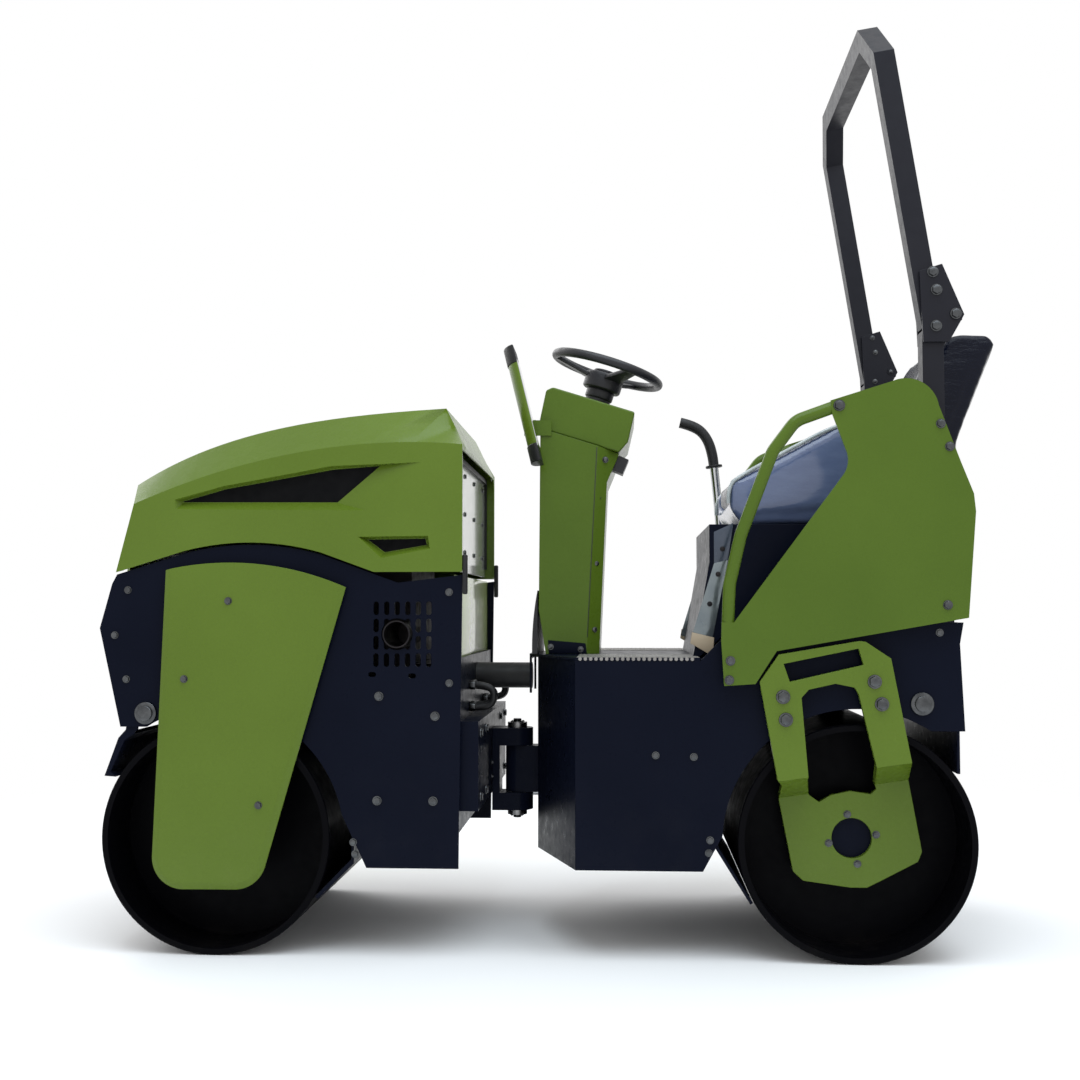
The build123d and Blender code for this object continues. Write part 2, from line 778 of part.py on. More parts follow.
with BuildPart() as floor_plate:
    with BuildSketch(Plane.XY.offset(wall_top_z)):
        with BuildLine():
            Polyline(
                (rear_corner_x, frame_half_width),
                (rear_front_x + rear_lip, rear_front_half_flat),
                (rear_front_x + rear_lip, -rear_front_half_flat),
                (rear_corner_x, -frame_half_width),
                (floor_rear_x, -frame_half_width),
                (floor_rear_x, frame_half_width),
                close=True,
            )
        make_face()
    extrude(amount=floor_wall)
    # a turned-down lip ahead of the front wall, open below for the hose sleeve
    with BuildSketch(Plane.YZ.offset(rear_front_x + rear_lip)):
        with Locations((0, (lip_foot_z + wall_top_z) / 2)):
            Rectangle(2 * rear_front_half_flat, wall_top_z - lip_foot_z)
        with Locations((0, (lip_foot_z + wall_top_z) / 2 - lip_border)):
            Rectangle(2 * (rear_front_half_flat - lip_border), wall_top_z - lip_foot_z, mode=Mode.SUBTRACT)
    extrude(amount=-lip_wall)
export("floor_plate", floor_plate.part)

# A curved shroud ahead of the column's foot
with BuildPart() as floor_shroud:
    with BuildSketch(across(column_half_width - 8)):
        with BuildLine():
            Line((52, floor_z + seat_gap), (66, floor_z + seat_gap))
            ThreePointArc((66, floor_z + seat_gap), (62, 810), (52, 880))
            Line((52, 880), (52, floor_z + seat_gap))
        make_face()
    extrude(amount=2 * (column_half_width - 8))
export("floor_shroud", floor_shroud.part)

# Column: a tapered folded housing with bevelled rear corners, on the floor
def column_form(inset):
    """The column's outside, or with an inset the hollow inside its sheet."""
    half = column_half_width - inset
    foot_z = floor_z - inset
    with BuildPart() as form:
        with BuildSketch(across(half)):
            with BuildLine():
                Polyline(
                    (30 - inset, foot_z),
                    (48 - inset, 830),
                    (44 - inset, 1300 - inset),
                    (-160 + inset, 1236 - inset),
                    (-128 + inset, 1160),
                    (-107 + inset, foot_z),
                    close=True,
                )
            make_face()
        extrude(amount=2 * half)
        for side in (1, -1):
            with BuildSketch(Plane.XY.offset(foot_z)):
                with BuildLine():
                    Polyline(
                        (column_bevel_back - 107, side * (half + 1)),
                        (-107 - 30, side * (half + 1)),
                        (-107 - 30, side * (half - 1.9 * column_bevel_side)),
                        close=True,
                    )
                make_face()
            with BuildSketch(Plane.XY.offset(1300)):
                with BuildLine():
                    Polyline(
                        (column_bevel_back - 140, side * (half + 1)),
                        (-140 - 30, side * (half + 1)),
                        (-140 - 30, side * (half - 1.9 * column_bevel_side)),
                        close=True,
                    )
                make_face()
            loft(ruled=True, mode=Mode.SUBTRACT)
    return form.part


with BuildPart() as steering_column:
    add(column_form(0.0))
    add(column_form(column_wall), mode=Mode.SUBTRACT)
export("steering_column", steering_column.part)

with BuildPart() as console:
    with BuildSketch(across(console_half_width)):
        with BuildLine():
            Polyline(
                (46, 1301),
                (46, 1325),
                (30, 1401),
                (console_front_x, console_front_z),
                (console_rear_x, console_rear_z),
                (-183, 1264),
                (-160, 1237),
                close=True,
            )
        make_face()
    extrude(amount=2 * console_half_width)
export("console", console.part)

# Steering wheel: a rim, three spokes and a hub on a tilted shaft
tilt = atan2(console_front_z - console_rear_z, console_front_x - console_rear_x)
wheel_to_console = (console_front_x - wheel_x) * sin(tilt) + (wheel_z - console_front_z) * cos(tilt)
wheel_plane = Plane(
    origin=(wheel_x, 0, wheel_z), x_dir=(cos(tilt), 0, sin(tilt)), z_dir=(-sin(tilt), 0, cos(tilt))
)
rim_centre_radius = wheel_radius - wheel_rim_radius
with BuildPart() as steering_wheel:
    with BuildSketch(Plane(origin=wheel_plane.origin, x_dir=wheel_plane.x_dir, z_dir=(0, -1, 0))):
        with Locations((rim_centre_radius, 0)):
            Circle(wheel_rim_radius)
    revolve(axis=Axis(wheel_plane.origin, wheel_plane.z_dir))
    with BuildSketch(wheel_plane.offset(-30)):
        Circle(30)
    extrude(amount=36)
    with BuildSketch(wheel_plane.offset(-14)):
        with PolarLocations(rim_centre_radius / 2, 3):
            Rectangle(rim_centre_radius, 26)
    extrude(amount=10)
export("steering_wheel", steering_wheel.part)

with BuildPart() as wheel_boot:
    with BuildSketch(wheel_plane.offset(-wheel_to_console + seat_gap)):
        Circle(38)
    with BuildSketch(wheel_plane.offset(-31)):
        Circle(24)
    loft()
export("wheel_boot", wheel_boot.part)

with BuildPart() as switch_box:
    with BuildSketch(across(120)):
        with BuildLine():
            Polyline((-158.8, 1232), (-142.8, 1194), (-168.5, 1183), (-184.5, 1221), close=True)
        make_face()
    extrude(amount=60)
export("switch_box", switch_box.part)

lean_angle = radians(mirror_tilt)
mirror_plane = Plane(
    origin=(mirror_x, mirror_y, mirror_z), x_dir=(0, 1, 0), z_dir=(sin(lean_angle), 0, cos(lean_angle))
)
with BuildPart() as mirror_head:
    with BuildSketch(mirror_plane):
        with BuildLine():
            Line((-mirror_width / 2, mirror_depth / 2), (mirror_width / 2, mirror_depth / 2))
            ThreePointArc(
                (mirror_width / 2, mirror_depth / 2), (0, -mirror_depth / 2), (-mirror_width / 2, mirror_depth / 2)
            )
        make_face()
    extrude(amount=mirror_height / 2, both=True)
export("mirror_head", mirror_head.part)

with BuildPart() as mirror_bracket:
    with BuildSketch(Plane.XY.offset(1280)):
        with BuildLine():
            inner_y = column_half_width + seat_gap
            outer_y = mirror_y - mirror_width / 2 - seat_gap
            Polyline(
                (15, inner_y),
                (85, inner_y),
                (85, outer_y),
                (55, outer_y),
                (55, inner_y + 5),
                (15, inner_y + 5),
                close=True,
            )
        make_face()
    extrude(amount=40)
export("mirror_bracket", mirror_bracket.part)

with BuildPart() as drive_lever:
    with BuildLine() as lever_path:
        FilletPolyline(
            (-448, -285, deck_z + seat_gap),
            (-448, -285, 1110),
            (-430, -285, 1239),
            (-425, -285, 1300),
            (-390, -285, 1350),
            (-335, -285, 1368),
            radius=20,
        )
    with BuildSketch(Plane(origin=lever_path.line @ 0, z_dir=lever_path.line % 0)):
        Circle(8)
    sweep()
export("drive_lever", drive_lever.part)

with BuildPart() as seat_base:
    for inset in (0.0, deck_wall):
        half = deck_half_width - inset
        with BuildSketch(across(half)):
            with BuildLine():
                Polyline(
                    (-340 - inset, floor_z + inset),
                    (seat_board_x - inset, 947),
                    (seat_board_x - inset, deck_z - inset),
                    (-870 + inset, deck_z - inset),
                    (-870 + inset, tail_top_z + inset),
                    (-452 - inset, tail_top_z + inset),
                    (-358 - 2 * inset, floor_z + inset),
                    close=True,
                )
            make_face()
        extrude(amount=2 * half, mode=Mode.SUBTRACT if inset else Mode.ADD)
export("seat_base", seat_base.part)

with BuildPart() as seat_shell:
    with BuildSketch(across(seat_half_width)):
        with BuildLine():
            Polyline(
                (-428, 1085),
                (-428, 1151),
                (-703, 1298),
                (-860, 1340),
                (-990, 1520),
                (-1022, 1529),
                (-1089, 1526),
                (-1106, 1508),
                (-1013, 1260),
                (-1000, 1200),
                (-900, deck_z + seat_gap),
                (-460, deck_z + seat_gap),
                close=True,
            )
        make_face()
    extrude(amount=2 * seat_half_width)
    with BuildSketch(across(seat_half_width - seat_side_wall)):
        with BuildLine():
            Polyline(
                (-400, 1100), (-400, 1600), (-1074, 1600), (-1044, 1510), (-930, 1180), (-905, 1100), close=True
            )
        make_face()
    extrude(amount=2 * (seat_half_width - seat_side_wall), mode=Mode.SUBTRACT)
export("seat_shell", seat_shell.part)

pad_half = seat_half_width - seat_side_wall - seat_gap
with BuildPart() as seat_cushion:
    with BuildSketch(across(pad_half)):
        with BuildLine():
            Polyline((-424, 1100.3), (-424, 1175), (-820, 1165), (-860, 1100.3), close=True)
        make_face()
    extrude(amount=2 * pad_half)
export("seat_cushion", seat_cushion.part)

with BuildPart() as seat_backrest:
    with BuildSketch(across(pad_half)):
        with BuildLine():
            Polyline(
                (-900, 1104),
                (-864, 1104),
                (-850, 1190),
                (-975, 1500),
                (-1010, 1526),
                (-1040, 1504),
                (-925, 1180),
                close=True,
            )
        make_face()
    extrude(amount=2 * pad_half)
export("seat_backrest", seat_backrest.part)

# Side guards: a cut plate, with a bent tube round the opening ahead of it
guard_tube_y = guard_outer_y - guard_tube_radius
for name, side in side_names:
    with BuildPart() as guard:
        with BuildSketch(across(guard_outer_y, side)):
            with BuildLine():
                Line((-405, 651), (-399, 754))
                Line((-399, 754), (-400, 800))
                Line((-400, 800), (-429, 800))
                Line((-429, 800), (-684, 1143))
                ThreePointArc((-684, 1143), (-697, 1170), (-696, 1199))
                Line((-696, 1199), (-663, 1290))
                Line((-663, 1290), (-659, 1323))
                Line((-659, 1323), (-802, 1367))
                ThreePointArc((-802, 1367), (-862, 1369), (-910, 1310))
                Line((-910, 1310), (-959, 1176))
                Line((-959, 1176), (-988, 1101))
                Line((-988, 1101), (-992, 1059))
                Line((-992, 1059), (-972, 811))
                Line((-972, 811), (-730, 768))
                Line((-730, 768), (-528, 733))
                Line((-528, 733), (-478, 656))
                Line((-478, 656), (-405, 651))
            make_face()
        extrude(amount=side * guard_wall)
        with BuildLine() as rail_path:
            FilletPolyline(
                (-415, side * guard_tube_y, 780),
                (-420, side * guard_tube_y, 890),
                (-447, side * guard_tube_y, 1005),
                (-524, side * guard_tube_y, 1205),
                (-578, side * guard_tube_y, 1277),
                (-668, side * guard_tube_y, 1309),
                radius=60,
            )
        with BuildSketch(Plane(origin=rail_path.line @ 0, z_dir=rail_path.line % 0)):
            Circle(guard_tube_radius)
        sweep()
        with BuildSketch(across(guard_outer_y - guard_wall, side)):
            with Locations((post_x, 1180), (post_x, 860)):
                Circle(14)
        extrude(amount=side * (guard_outer_y - guard_wall - post_outer_y))
        with BuildSketch(across(guard_outer_y - guard_wall, side)):
            with Locations((-436, 700)):
                Circle(14)
        extrude(amount=side * (guard_outer_y - guard_wall - frame_half_width))
    export(f"guard_{name}", guard.part)

# Rear drum yokes: a plate bent inwards below the hips, cut to its outline
bend_tilt = radians(8.4)
bend_x = -687.0
bend_z = 424.0
bend_rise = 56.0
for name, side in side_names:
    with BuildPart() as yoke:
        bend_plane = Plane(
            origin=(bend_x, 0, bend_z), x_dir=(0, 1, 0), z_dir=(cos(bend_tilt), 0, -sin(bend_tilt))
        )
        with BuildSketch(bend_plane):
            with BuildLine():
                Polyline(
                    (side * yoke_outer_y, 400),
                    (side * yoke_outer_y, bend_rise / 2),
                    (side * yoke_lower_y, -bend_rise / 2),
                    (side * yoke_lower_y, -400),
                    (side * (yoke_lower_y - yoke_wall), -400),
                    (side * (yoke_lower_y - yoke_wall), -bend_rise / 2 + 10),
                    (side * (yoke_outer_y - yoke_wall), bend_rise / 2 + 10),
                    (side * (yoke_outer_y - yoke_wall), 400),
                    close=True,
                )
            make_face()
        extrude(amount=300, both=True)
        with BuildSketch(across(yoke_outer_y, side)):
            with BuildLine():
                Polyline(
                    (-488, 661),
                    (-533, 725),
                    (-721, 757),
                    (-735, 755),
                    (-793, 716),
                    (-798, 690),
                    (-837, 478),
                    (-853, 425),
                    (-884, 249),
                    (-874, 225),
                    (-786, 179),
                    (-752, 162),
                    (-712, 162),
                    (-600, 177),
                    (-576, 199),
                    (-544, 368),
                    (-541, 416),
                    (-528, 431),
                    close=True,
                )
            make_face()
            with BuildLine():
                Polyline((-544, 703), (-718, 739), (-729, 701), (-558, 661), close=True)
            make_face(mode=Mode.SUBTRACT)
            with BuildLine():
                Polyline(
                    (-585, 624),
                    (-602, 643),
                    (-664, 657),
                    (-708, 648),
                    (-717, 633),
                    (-756, 465),
                    (-777, 398),
                    (-764, 386),
                    (-715, 393),
                    (-669, 383),
                    (-640, 366),
                    (-616, 383),
                    (-600, 430),
                    close=True,
                )
            make_face(mode=Mode.SUBTRACT)
            with Locations((rear_axle_x, axle_z)):
                Circle(yoke_hole_radius, mode=Mode.SUBTRACT)
        extrude(amount=side * 200, mode=Mode.INTERSECT)
        with BuildSketch(across(yoke_outer_y - yoke_wall, side)):
            with Locations((-540, 640), (-770, 690)):
                Circle(spacer_radius)
        extrude(amount=side * (yoke_outer_y - yoke_wall - frame_half_width))
    export(f"rear_yoke_{name}", yoke.part)

# Roll-over hoop: two posts on the frame, and a folding upper hoop between cheeks
with BuildPart() as rops_posts:
    post_height = post_top_z - tail_top_z
    for side in (1, -1):
        with Locations((post_x, side * (post_outer_y - post_size / 2), tail_top_z + post_height / 2)):
            Box(post_size, post_size, post_height)
            Box(post_size - 2 * post_wall, post_size - 2 * post_wall, post_height, mode=Mode.SUBTRACT)
        for face in (post_outer_y + cheek_gap + cheek_wall, post_outer_y - post_size - cheek_gap):
            with BuildSketch(across(face, side)):
                with BuildLine():
                    Polyline(
                        (hoop_pivot_x + 83, hoop_pivot_z + 104),
                        (hoop_pivot_x + 30, hoop_pivot_z + 120),
                        (hoop_pivot_x - 20, hoop_pivot_z - 2),
                        (hoop_pivot_x - 8, hoop_pivot_z - 24),
                        (hoop_pivot_x + 16, hoop_pivot_z - 66),
                        (hoop_pivot_x + 76, hoop_pivot_z - 66),
                        close=True,
                    )
                make_face()
                with Locations((hoop_pivot_x, hoop_pivot_z)):
                    Circle(hoop_pin_radius + running_gap, mode=Mode.SUBTRACT)
            extrude(amount=side * cheek_wall)
        for strap_y in (post_outer_y + cheek_gap / 2, post_outer_y - post_size - cheek_gap / 2):
            with Locations((post_x, side * strap_y, post_top_z - 16)):
                Box(post_size - 10, cheek_gap, 18)
        with Locations((post_x, side * (post_outer_y - post_size / 2), tail_top_z + 4)):
            Box(post_size + 30, post_size, 8)
export("rops_posts", rops_posts.part)

lean = tan(radians(hoop_lean))
post_mid_y = post_outer_y - post_size / 2
crossbar_x = post_x + lean * (hoop_crossbar_z - hoop_foot_z)
knee_x = post_x + lean * (hoop_knee_z - hoop_foot_z)
with BuildPart() as rops_hoop:
    with BuildLine():
        Polyline(
            (post_x, post_mid_y, hoop_foot_z),
            (knee_x, post_mid_y, hoop_knee_z),
            (crossbar_x, hoop_knee_y, hoop_crossbar_z),
            (crossbar_x, -hoop_knee_y, hoop_crossbar_z),
            (knee_x, -post_mid_y, hoop_knee_z),
            (post_x, -post_mid_y, hoop_foot_z),
        )
    with BuildSketch(Plane(origin=(post_x, post_mid_y, hoop_foot_z), x_dir=(0, 1, 0), z_dir=(lean, 0, 1))):
        Rectangle(post_size, post_size)
    sweep(transition=Transition.RIGHT)
    for side in (1, -1):
        with BuildSketch(across(post_outer_y, side)):
            with BuildLine():
                Polyline(
                    (hoop_pivot_x + 35, hoop_foot_z),
                    (hoop_pivot_x + 75, hoop_foot_z),
                    (hoop_pivot_x + 75, hoop_foot_z + 60),
                    (hoop_pivot_x + 15, hoop_foot_z + 60),
                    (hoop_pivot_x - 17, hoop_foot_z + 40),
                    (hoop_pivot_x - 17, hoop_foot_z + 15),
                    close=True,
                )
            make_face()
        extrude(amount=side * post_size)
        pin_end_y = post_outer_y + cheek_gap + cheek_wall + 2
        with BuildSketch(across(pin_end_y, side)):
            with Locations((hoop_pivot_x, hoop_pivot_z)):
                Circle(hoop_pin_radius)
        extrude(amount=side * (post_size + 2 * (pin_end_y - post_outer_y)))
export("rops_hoop", rops_hoop.part)

# Scrapers: a blade across each drum, before and behind it, held by the side plates
blade_half = frame_half_width - frame_wall - seat_gap
with BuildPart() as front_scrapers:
    with BuildSketch(across(blade_half)):
        with BuildLine():
            Polyline(
                (1063.5, 424), (1093, 426), (1052, 518), (1030, 535), (1022, 528), (1044, 512), (1078, 436), close=True
            )
        make_face()
        with BuildLine():
            Polyline((484, 232), (572, 142), (566, 136), (478, 222), (478, 300), (484, 300), close=True)
        make_face()
    extrude(amount=2 * blade_half)
    for side in (1, -1):
        with BuildSketch(across(blade_half, side)):
            with BuildLine():
                Polyline(
                    (1012, 580),
                    (1036, 580),
                    (1042, 538),
                    (1060, 518),
                    (1093, 426),
                    (1078, 436),
                    (1044, 512),
                    (1022, 528),
                    (1012, 540),
                    close=True,
                )
            make_face()
        extrude(amount=side * scraper_wall)
export("front_scrapers", front_scrapers.part)

with BuildPart() as rear_scrapers:
    with BuildSketch(across(blade_half)):
        with BuildLine():
            Polyline((-372, 300), (-366, 296), (-466, 136), (-472, 140), close=True)
        make_face()
        with BuildLine():
            Polyline((-951.3, 548), (-957, 548), (-957, 445), (-949.5, 445), close=True)
        make_face()
    extrude(amount=2 * blade_half)
export("rear_scrapers", rear_scrapers.part)

with BuildPart() as hose_sleeve:
    with BuildSketch(Plane.YZ.offset(front_wall_x - seat_gap)):
        with Locations((0, sleeve_z)):
            Circle(sleeve_radius)
    extrude(amount=-sleeve_length)
export("hose_sleeve", hose_sleeve.part)
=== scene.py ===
# %% [markdown]
# # A ride-on tandem road roller
# The machine has two steel drums, a hinge in the middle, an engine hood in front and an open
# driver's place behind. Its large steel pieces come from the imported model, which is a fixed
# frame. This script softens their edges, paints them, and adds what a drawing leaves out:
# bolts, the padded seat, hoses, the steering wheel's grip and a little dust.

# %% Load the frame
import json
import math

import bmesh
import bpy
from mathutils import Matrix, Vector


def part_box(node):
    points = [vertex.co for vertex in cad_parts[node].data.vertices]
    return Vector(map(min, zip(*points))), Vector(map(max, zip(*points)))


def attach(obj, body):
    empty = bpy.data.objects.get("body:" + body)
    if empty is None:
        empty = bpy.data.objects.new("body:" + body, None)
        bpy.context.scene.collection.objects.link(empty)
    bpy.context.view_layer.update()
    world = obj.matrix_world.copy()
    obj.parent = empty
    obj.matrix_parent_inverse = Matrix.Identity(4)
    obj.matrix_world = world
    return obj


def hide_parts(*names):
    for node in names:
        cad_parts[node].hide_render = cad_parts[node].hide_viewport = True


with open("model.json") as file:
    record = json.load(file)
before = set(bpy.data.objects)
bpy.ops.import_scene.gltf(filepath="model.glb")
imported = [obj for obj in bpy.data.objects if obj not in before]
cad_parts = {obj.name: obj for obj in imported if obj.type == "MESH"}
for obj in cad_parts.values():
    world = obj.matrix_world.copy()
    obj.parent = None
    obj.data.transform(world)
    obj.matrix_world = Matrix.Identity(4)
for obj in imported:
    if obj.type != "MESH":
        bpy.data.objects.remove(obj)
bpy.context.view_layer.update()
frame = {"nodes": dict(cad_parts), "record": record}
scene = bpy.context.scene
nodes = frame["nodes"]
MM = 0.001

# %% [markdown]
# ## The camera
# The photograph looks at the machine's left side from nearly four metres away. A camera is a
# position and three directions, so its matrix is built from the direction it looks in, with
# the small turn and the small upward tilt that the photograph has.

# %% Place the camera
LENS = 45.642
CAMERA_PLACE = Vector((-0.17076, 3.68372, 0.82883))
CAMERA_TURN = -0.0611
CAMERA_TILT = 0.0512


def place_camera():
    ahead = Vector((-math.sin(CAMERA_TURN), -math.cos(CAMERA_TURN), 0))
    right = Vector((-math.cos(CAMERA_TURN), math.sin(CAMERA_TURN), 0))
    up = Vector((0, 0, 1))
    look = math.cos(CAMERA_TILT) * ahead + math.sin(CAMERA_TILT) * up
    top = math.cos(CAMERA_TILT) * up - math.sin(CAMERA_TILT) * ahead
    data = bpy.data.cameras.new("camera")
    data.lens = LENS
    data.sensor_width = 36
    data.sensor_fit = "HORIZONTAL"
    camera = bpy.data.objects.new("camera", data)
    scene.collection.objects.link(camera)
    turn = Matrix((right, top, -look)).transposed().to_4x4()
    camera.matrix_world = Matrix.Translation(CAMERA_PLACE) @ turn
    scene.camera = camera
    return camera


print("camera", place_camera().location[:])

# %% [markdown]
# ## Light and floor
# The photograph was taken under an overcast sky and stands on white. A pale world lights the
# machine evenly, a large bluish lamp gives the top its sheen, a smaller one lights the back,
# and the floor turns to pure white with distance, so that no horizon shows while the shadow
# near the machine stays.

# %% World, lamps and floor
LIGHT_LEVEL = 0.86
FLOOR_NEAR = 1.6
FLOOR_FAR = 3.4


def new_nodes(material):
    material.use_nodes = True
    tree = material.node_tree
    tree.nodes.clear()
    return tree


def light_world():
    world = bpy.data.worlds.new("studio")
    scene.world = world
    tree = new_nodes(world)
    out = tree.nodes.new("ShaderNodeOutputWorld")
    path = tree.nodes.new("ShaderNodeLightPath")
    lit = tree.nodes.new("ShaderNodeBackground")
    lit.inputs["Color"].default_value = (0.97, 0.985, 1.0, 1)
    lit.inputs["Strength"].default_value = LIGHT_LEVEL
    seen = tree.nodes.new("ShaderNodeBackground")
    seen.inputs["Color"].default_value = (1, 1, 1, 1)
    seen.inputs["Strength"].default_value = 1.0
    either = tree.nodes.new("ShaderNodeMath")
    either.operation = "MAXIMUM"
    any_of_three = tree.nodes.new("ShaderNodeMath")
    any_of_three.operation = "MAXIMUM"
    mix = tree.nodes.new("ShaderNodeMixShader")
    link = tree.links.new
    link(path.outputs["Is Camera Ray"], either.inputs[0])
    link(path.outputs["Is Glossy Ray"], either.inputs[1])
    link(either.outputs[0], any_of_three.inputs[0])
    link(path.outputs["Is Transmission Ray"], any_of_three.inputs[1])
    link(any_of_three.outputs[0], mix.inputs[0])
    link(lit.outputs[0], mix.inputs[1])
    link(seen.outputs[0], mix.inputs[2])
    link(mix.outputs[0], out.inputs["Surface"])


def add_lamp(name, place, aim, size, power, colour=(1, 1, 1)):
    data = bpy.data.lights.new(name, "AREA")
    data.shape = "RECTANGLE"
    data.size, data.size_y = size
    data.energy = power
    data.color = colour
    lamp = bpy.data.objects.new(name, data)
    scene.collection.objects.link(lamp)
    lamp.location = place
    lamp.rotation_euler = (Vector(aim) - Vector(place)).to_track_quat("-Z", "Y").to_euler()


def lay_floor():
    mesh = bpy.data.meshes.new("floor")
    bm = bmesh.new()
    bmesh.ops.create_circle(bm, cap_ends=True, radius=40, segments=64)
    bm.to_mesh(mesh)
    bm.free()
    floor = bpy.data.objects.new("floor", mesh)
    scene.collection.objects.link(floor)
    material = bpy.data.materials.new("pale_floor")
    tree = new_nodes(material)
    out = tree.nodes.new("ShaderNodeOutputMaterial")
    coord = tree.nodes.new("ShaderNodeTexCoord")
    reach = tree.nodes.new("ShaderNodeVectorMath")
    reach.operation = "LENGTH"
    fade = tree.nodes.new("ShaderNodeMapRange")
    fade.inputs["From Min"].default_value = FLOOR_NEAR
    fade.inputs["From Max"].default_value = FLOOR_FAR
    matt = tree.nodes.new("ShaderNodeBsdfDiffuse")
    matt.inputs["Color"].default_value = (0.97, 0.965, 0.96, 1)
    white = tree.nodes.new("ShaderNodeEmission")
    mix = tree.nodes.new("ShaderNodeMixShader")
    link = tree.links.new
    link(coord.outputs["Object"], reach.inputs[0])
    link(reach.outputs["Value"], fade.inputs["Value"])
    link(fade.outputs["Result"], mix.inputs[0])
    link(matt.outputs[0], mix.inputs[1])
    link(white.outputs[0], mix.inputs[2])
    link(mix.outputs[0], out.inputs["Surface"])
    floor.data.materials.append(material)


scene.view_settings.view_transform = "Standard"
light_world()
lay_floor()
add_lamp("sky_lamp", (-0.8, 1.8, 5.0), (0, 0, 0.6), (5, 4), 185, (0.80, 0.91, 1.0))
add_lamp("back_lamp", (2.5, -3.0, 3.5), (0, 0, 0.8), (4, 3), 70)
print("light level", LIGHT_LEVEL)

# %% [markdown]
# ## Finishes
# Every finish is worked out from the piece's own coordinates. A large soft noise gives the
# slow change of colour that paint and dust have, and a fine one gives the surface its grain.
# One helper makes them all, so that each finish is one short line of numbers.

# %% A helper for finishes
def blend_colours(tree, factor, first, second):
    mix = tree.nodes.new("ShaderNodeMix")
    mix.data_type = "RGBA"
    tree.links.new(factor, mix.inputs[0])
    for socket, value in ((mix.inputs[6], first), (mix.inputs[7], second)):
        if isinstance(value, tuple):
            socket.default_value = (*value, 1)
        else:
            tree.links.new(value, socket)
    return mix.outputs[2]


def noise(tree, vector, scale, detail=3.0, roughness=0.5):
    node = tree.nodes.new("ShaderNodeTexNoise")
    node.inputs["Scale"].default_value = scale
    node.inputs["Detail"].default_value = detail
    node.inputs["Roughness"].default_value = roughness
    tree.links.new(vector, node.inputs["Vector"])
    return node.outputs["Fac"]


def spread(tree, value, low, high, to_low=0.0, to_high=1.0):
    node = tree.nodes.new("ShaderNodeMapRange")
    node.inputs["From Min"].default_value = low
    node.inputs["From Max"].default_value = high
    node.inputs["To Min"].default_value = to_low
    node.inputs["To Max"].default_value = to_high
    tree.links.new(value, node.inputs["Value"])
    return node.outputs["Result"]


def finish(name, colour, tint, rough, metal=0.0, shine=0.5, coat=0.0, grain=0.0, grain_scale=900.0,
           cloud_scale=2.5, dust=None, dust_height=0.5, dust_share=0.5):
    """A paint, plastic or metal with slow colour change, fine grain and dust near the ground."""
    material = bpy.data.materials.new(name)
    tree = new_nodes(material)
    out = tree.nodes.new("ShaderNodeOutputMaterial")
    shader = tree.nodes.new("ShaderNodeBsdfPrincipled")
    coord = tree.nodes.new("ShaderNodeTexCoord").outputs["Object"]
    cloud = noise(tree, coord, cloud_scale, 4.0)
    paint = blend_colours(tree, spread(tree, cloud, 0.3, 0.7), colour, tint)
    rough_low, rough_high = rough
    speckle = noise(tree, coord, 38.0, 5.0, 0.65)
    gloss = spread(tree, speckle, 0.35, 0.7, rough_low, rough_high)
    if dust:
        height = tree.nodes.new("ShaderNodeSeparateXYZ")
        tree.links.new(coord, height.inputs[0])
        near = spread(tree, height.outputs["Z"], dust_height, 0.0)
        patch = spread(tree, noise(tree, coord, 14.0, 6.0, 0.6), 0.45, 0.75)
        amount = tree.nodes.new("ShaderNodeMath")
        amount.operation = "MULTIPLY"
        tree.links.new(near, amount.inputs[0])
        tree.links.new(patch, amount.inputs[1])
        share = spread(tree, amount.outputs[0], 0.0, 1.0, 0.0, dust_share)
        paint = blend_colours(tree, share, paint, dust)
    tree.links.new(paint, shader.inputs["Base Color"])
    tree.links.new(gloss, shader.inputs["Roughness"])
    shader.inputs["Metallic"].default_value = metal
    shader.inputs["Specular IOR Level"].default_value = shine
    shader.inputs["Coat Weight"].default_value = coat
    shader.inputs["Coat Roughness"].default_value = 0.08
    if grain:
        bump = tree.nodes.new("ShaderNodeBump")
        bump.inputs["Strength"].default_value = grain
        bump.inputs["Distance"].default_value = 0.0005
        tree.links.new(noise(tree, coord, grain_scale, 2.0), bump.inputs["Height"])
        tree.links.new(bump.outputs["Normal"], shader.inputs["Normal"])
    tree.links.new(shader.outputs[0], out.inputs["Surface"])
    return material


# %% Paints, metals and plastics
green_paint = finish("green_paint", (0.088, 0.142, 0.012), (0.102, 0.163, 0.016), (0.22, 0.34),
                     shine=0.16, coat=0.14, grain=0.08, dust=(0.19, 0.20, 0.09), dust_share=0.08)
# The same green paint made darker: painted shade on the guards, the steering column, the console and the
# mirror bracket.
green_painted_shade = finish("green_painted_shade", (0.064, 0.112, 0.009), (0.078, 0.132, 0.012), (0.24, 0.36),
                     shine=0.14, coat=0.12, grain=0.08, dust=(0.19, 0.20, 0.09), dust_share=0.08)
# Pale colour of the engine's rear panel: painted reflection of the bright surroundings on its glossy face.
pale_panel_painted_reflection = finish("pale_panel_painted_reflection", (0.40, 0.43, 0.35), (0.34, 0.37, 0.29), (0.14, 0.22), shine=0.5,
                    coat=0.7, cloud_scale=6.0)
navy_paint = finish("navy_paint", (0.0031, 0.0044, 0.0108), (0.0046, 0.0062, 0.0140), (0.26, 0.42),
                    shine=0.045, coat=0.0, grain=0.10, dust=(0.022, 0.022, 0.026), dust_share=0.2)
hoop_paint = finish("hoop_paint", (0.007, 0.0075, 0.012), (0.011, 0.011, 0.016), (0.30, 0.45),
                    shine=0.2, grain=0.15)
drum_paint = finish("drum_paint", (0.0012, 0.0012, 0.0020), (0.0024, 0.0023, 0.0032), (0.30, 0.5),
                    shine=0.04, grain=0.12, dust=(0.03, 0.026, 0.022), dust_height=0.06, dust_share=0.25)
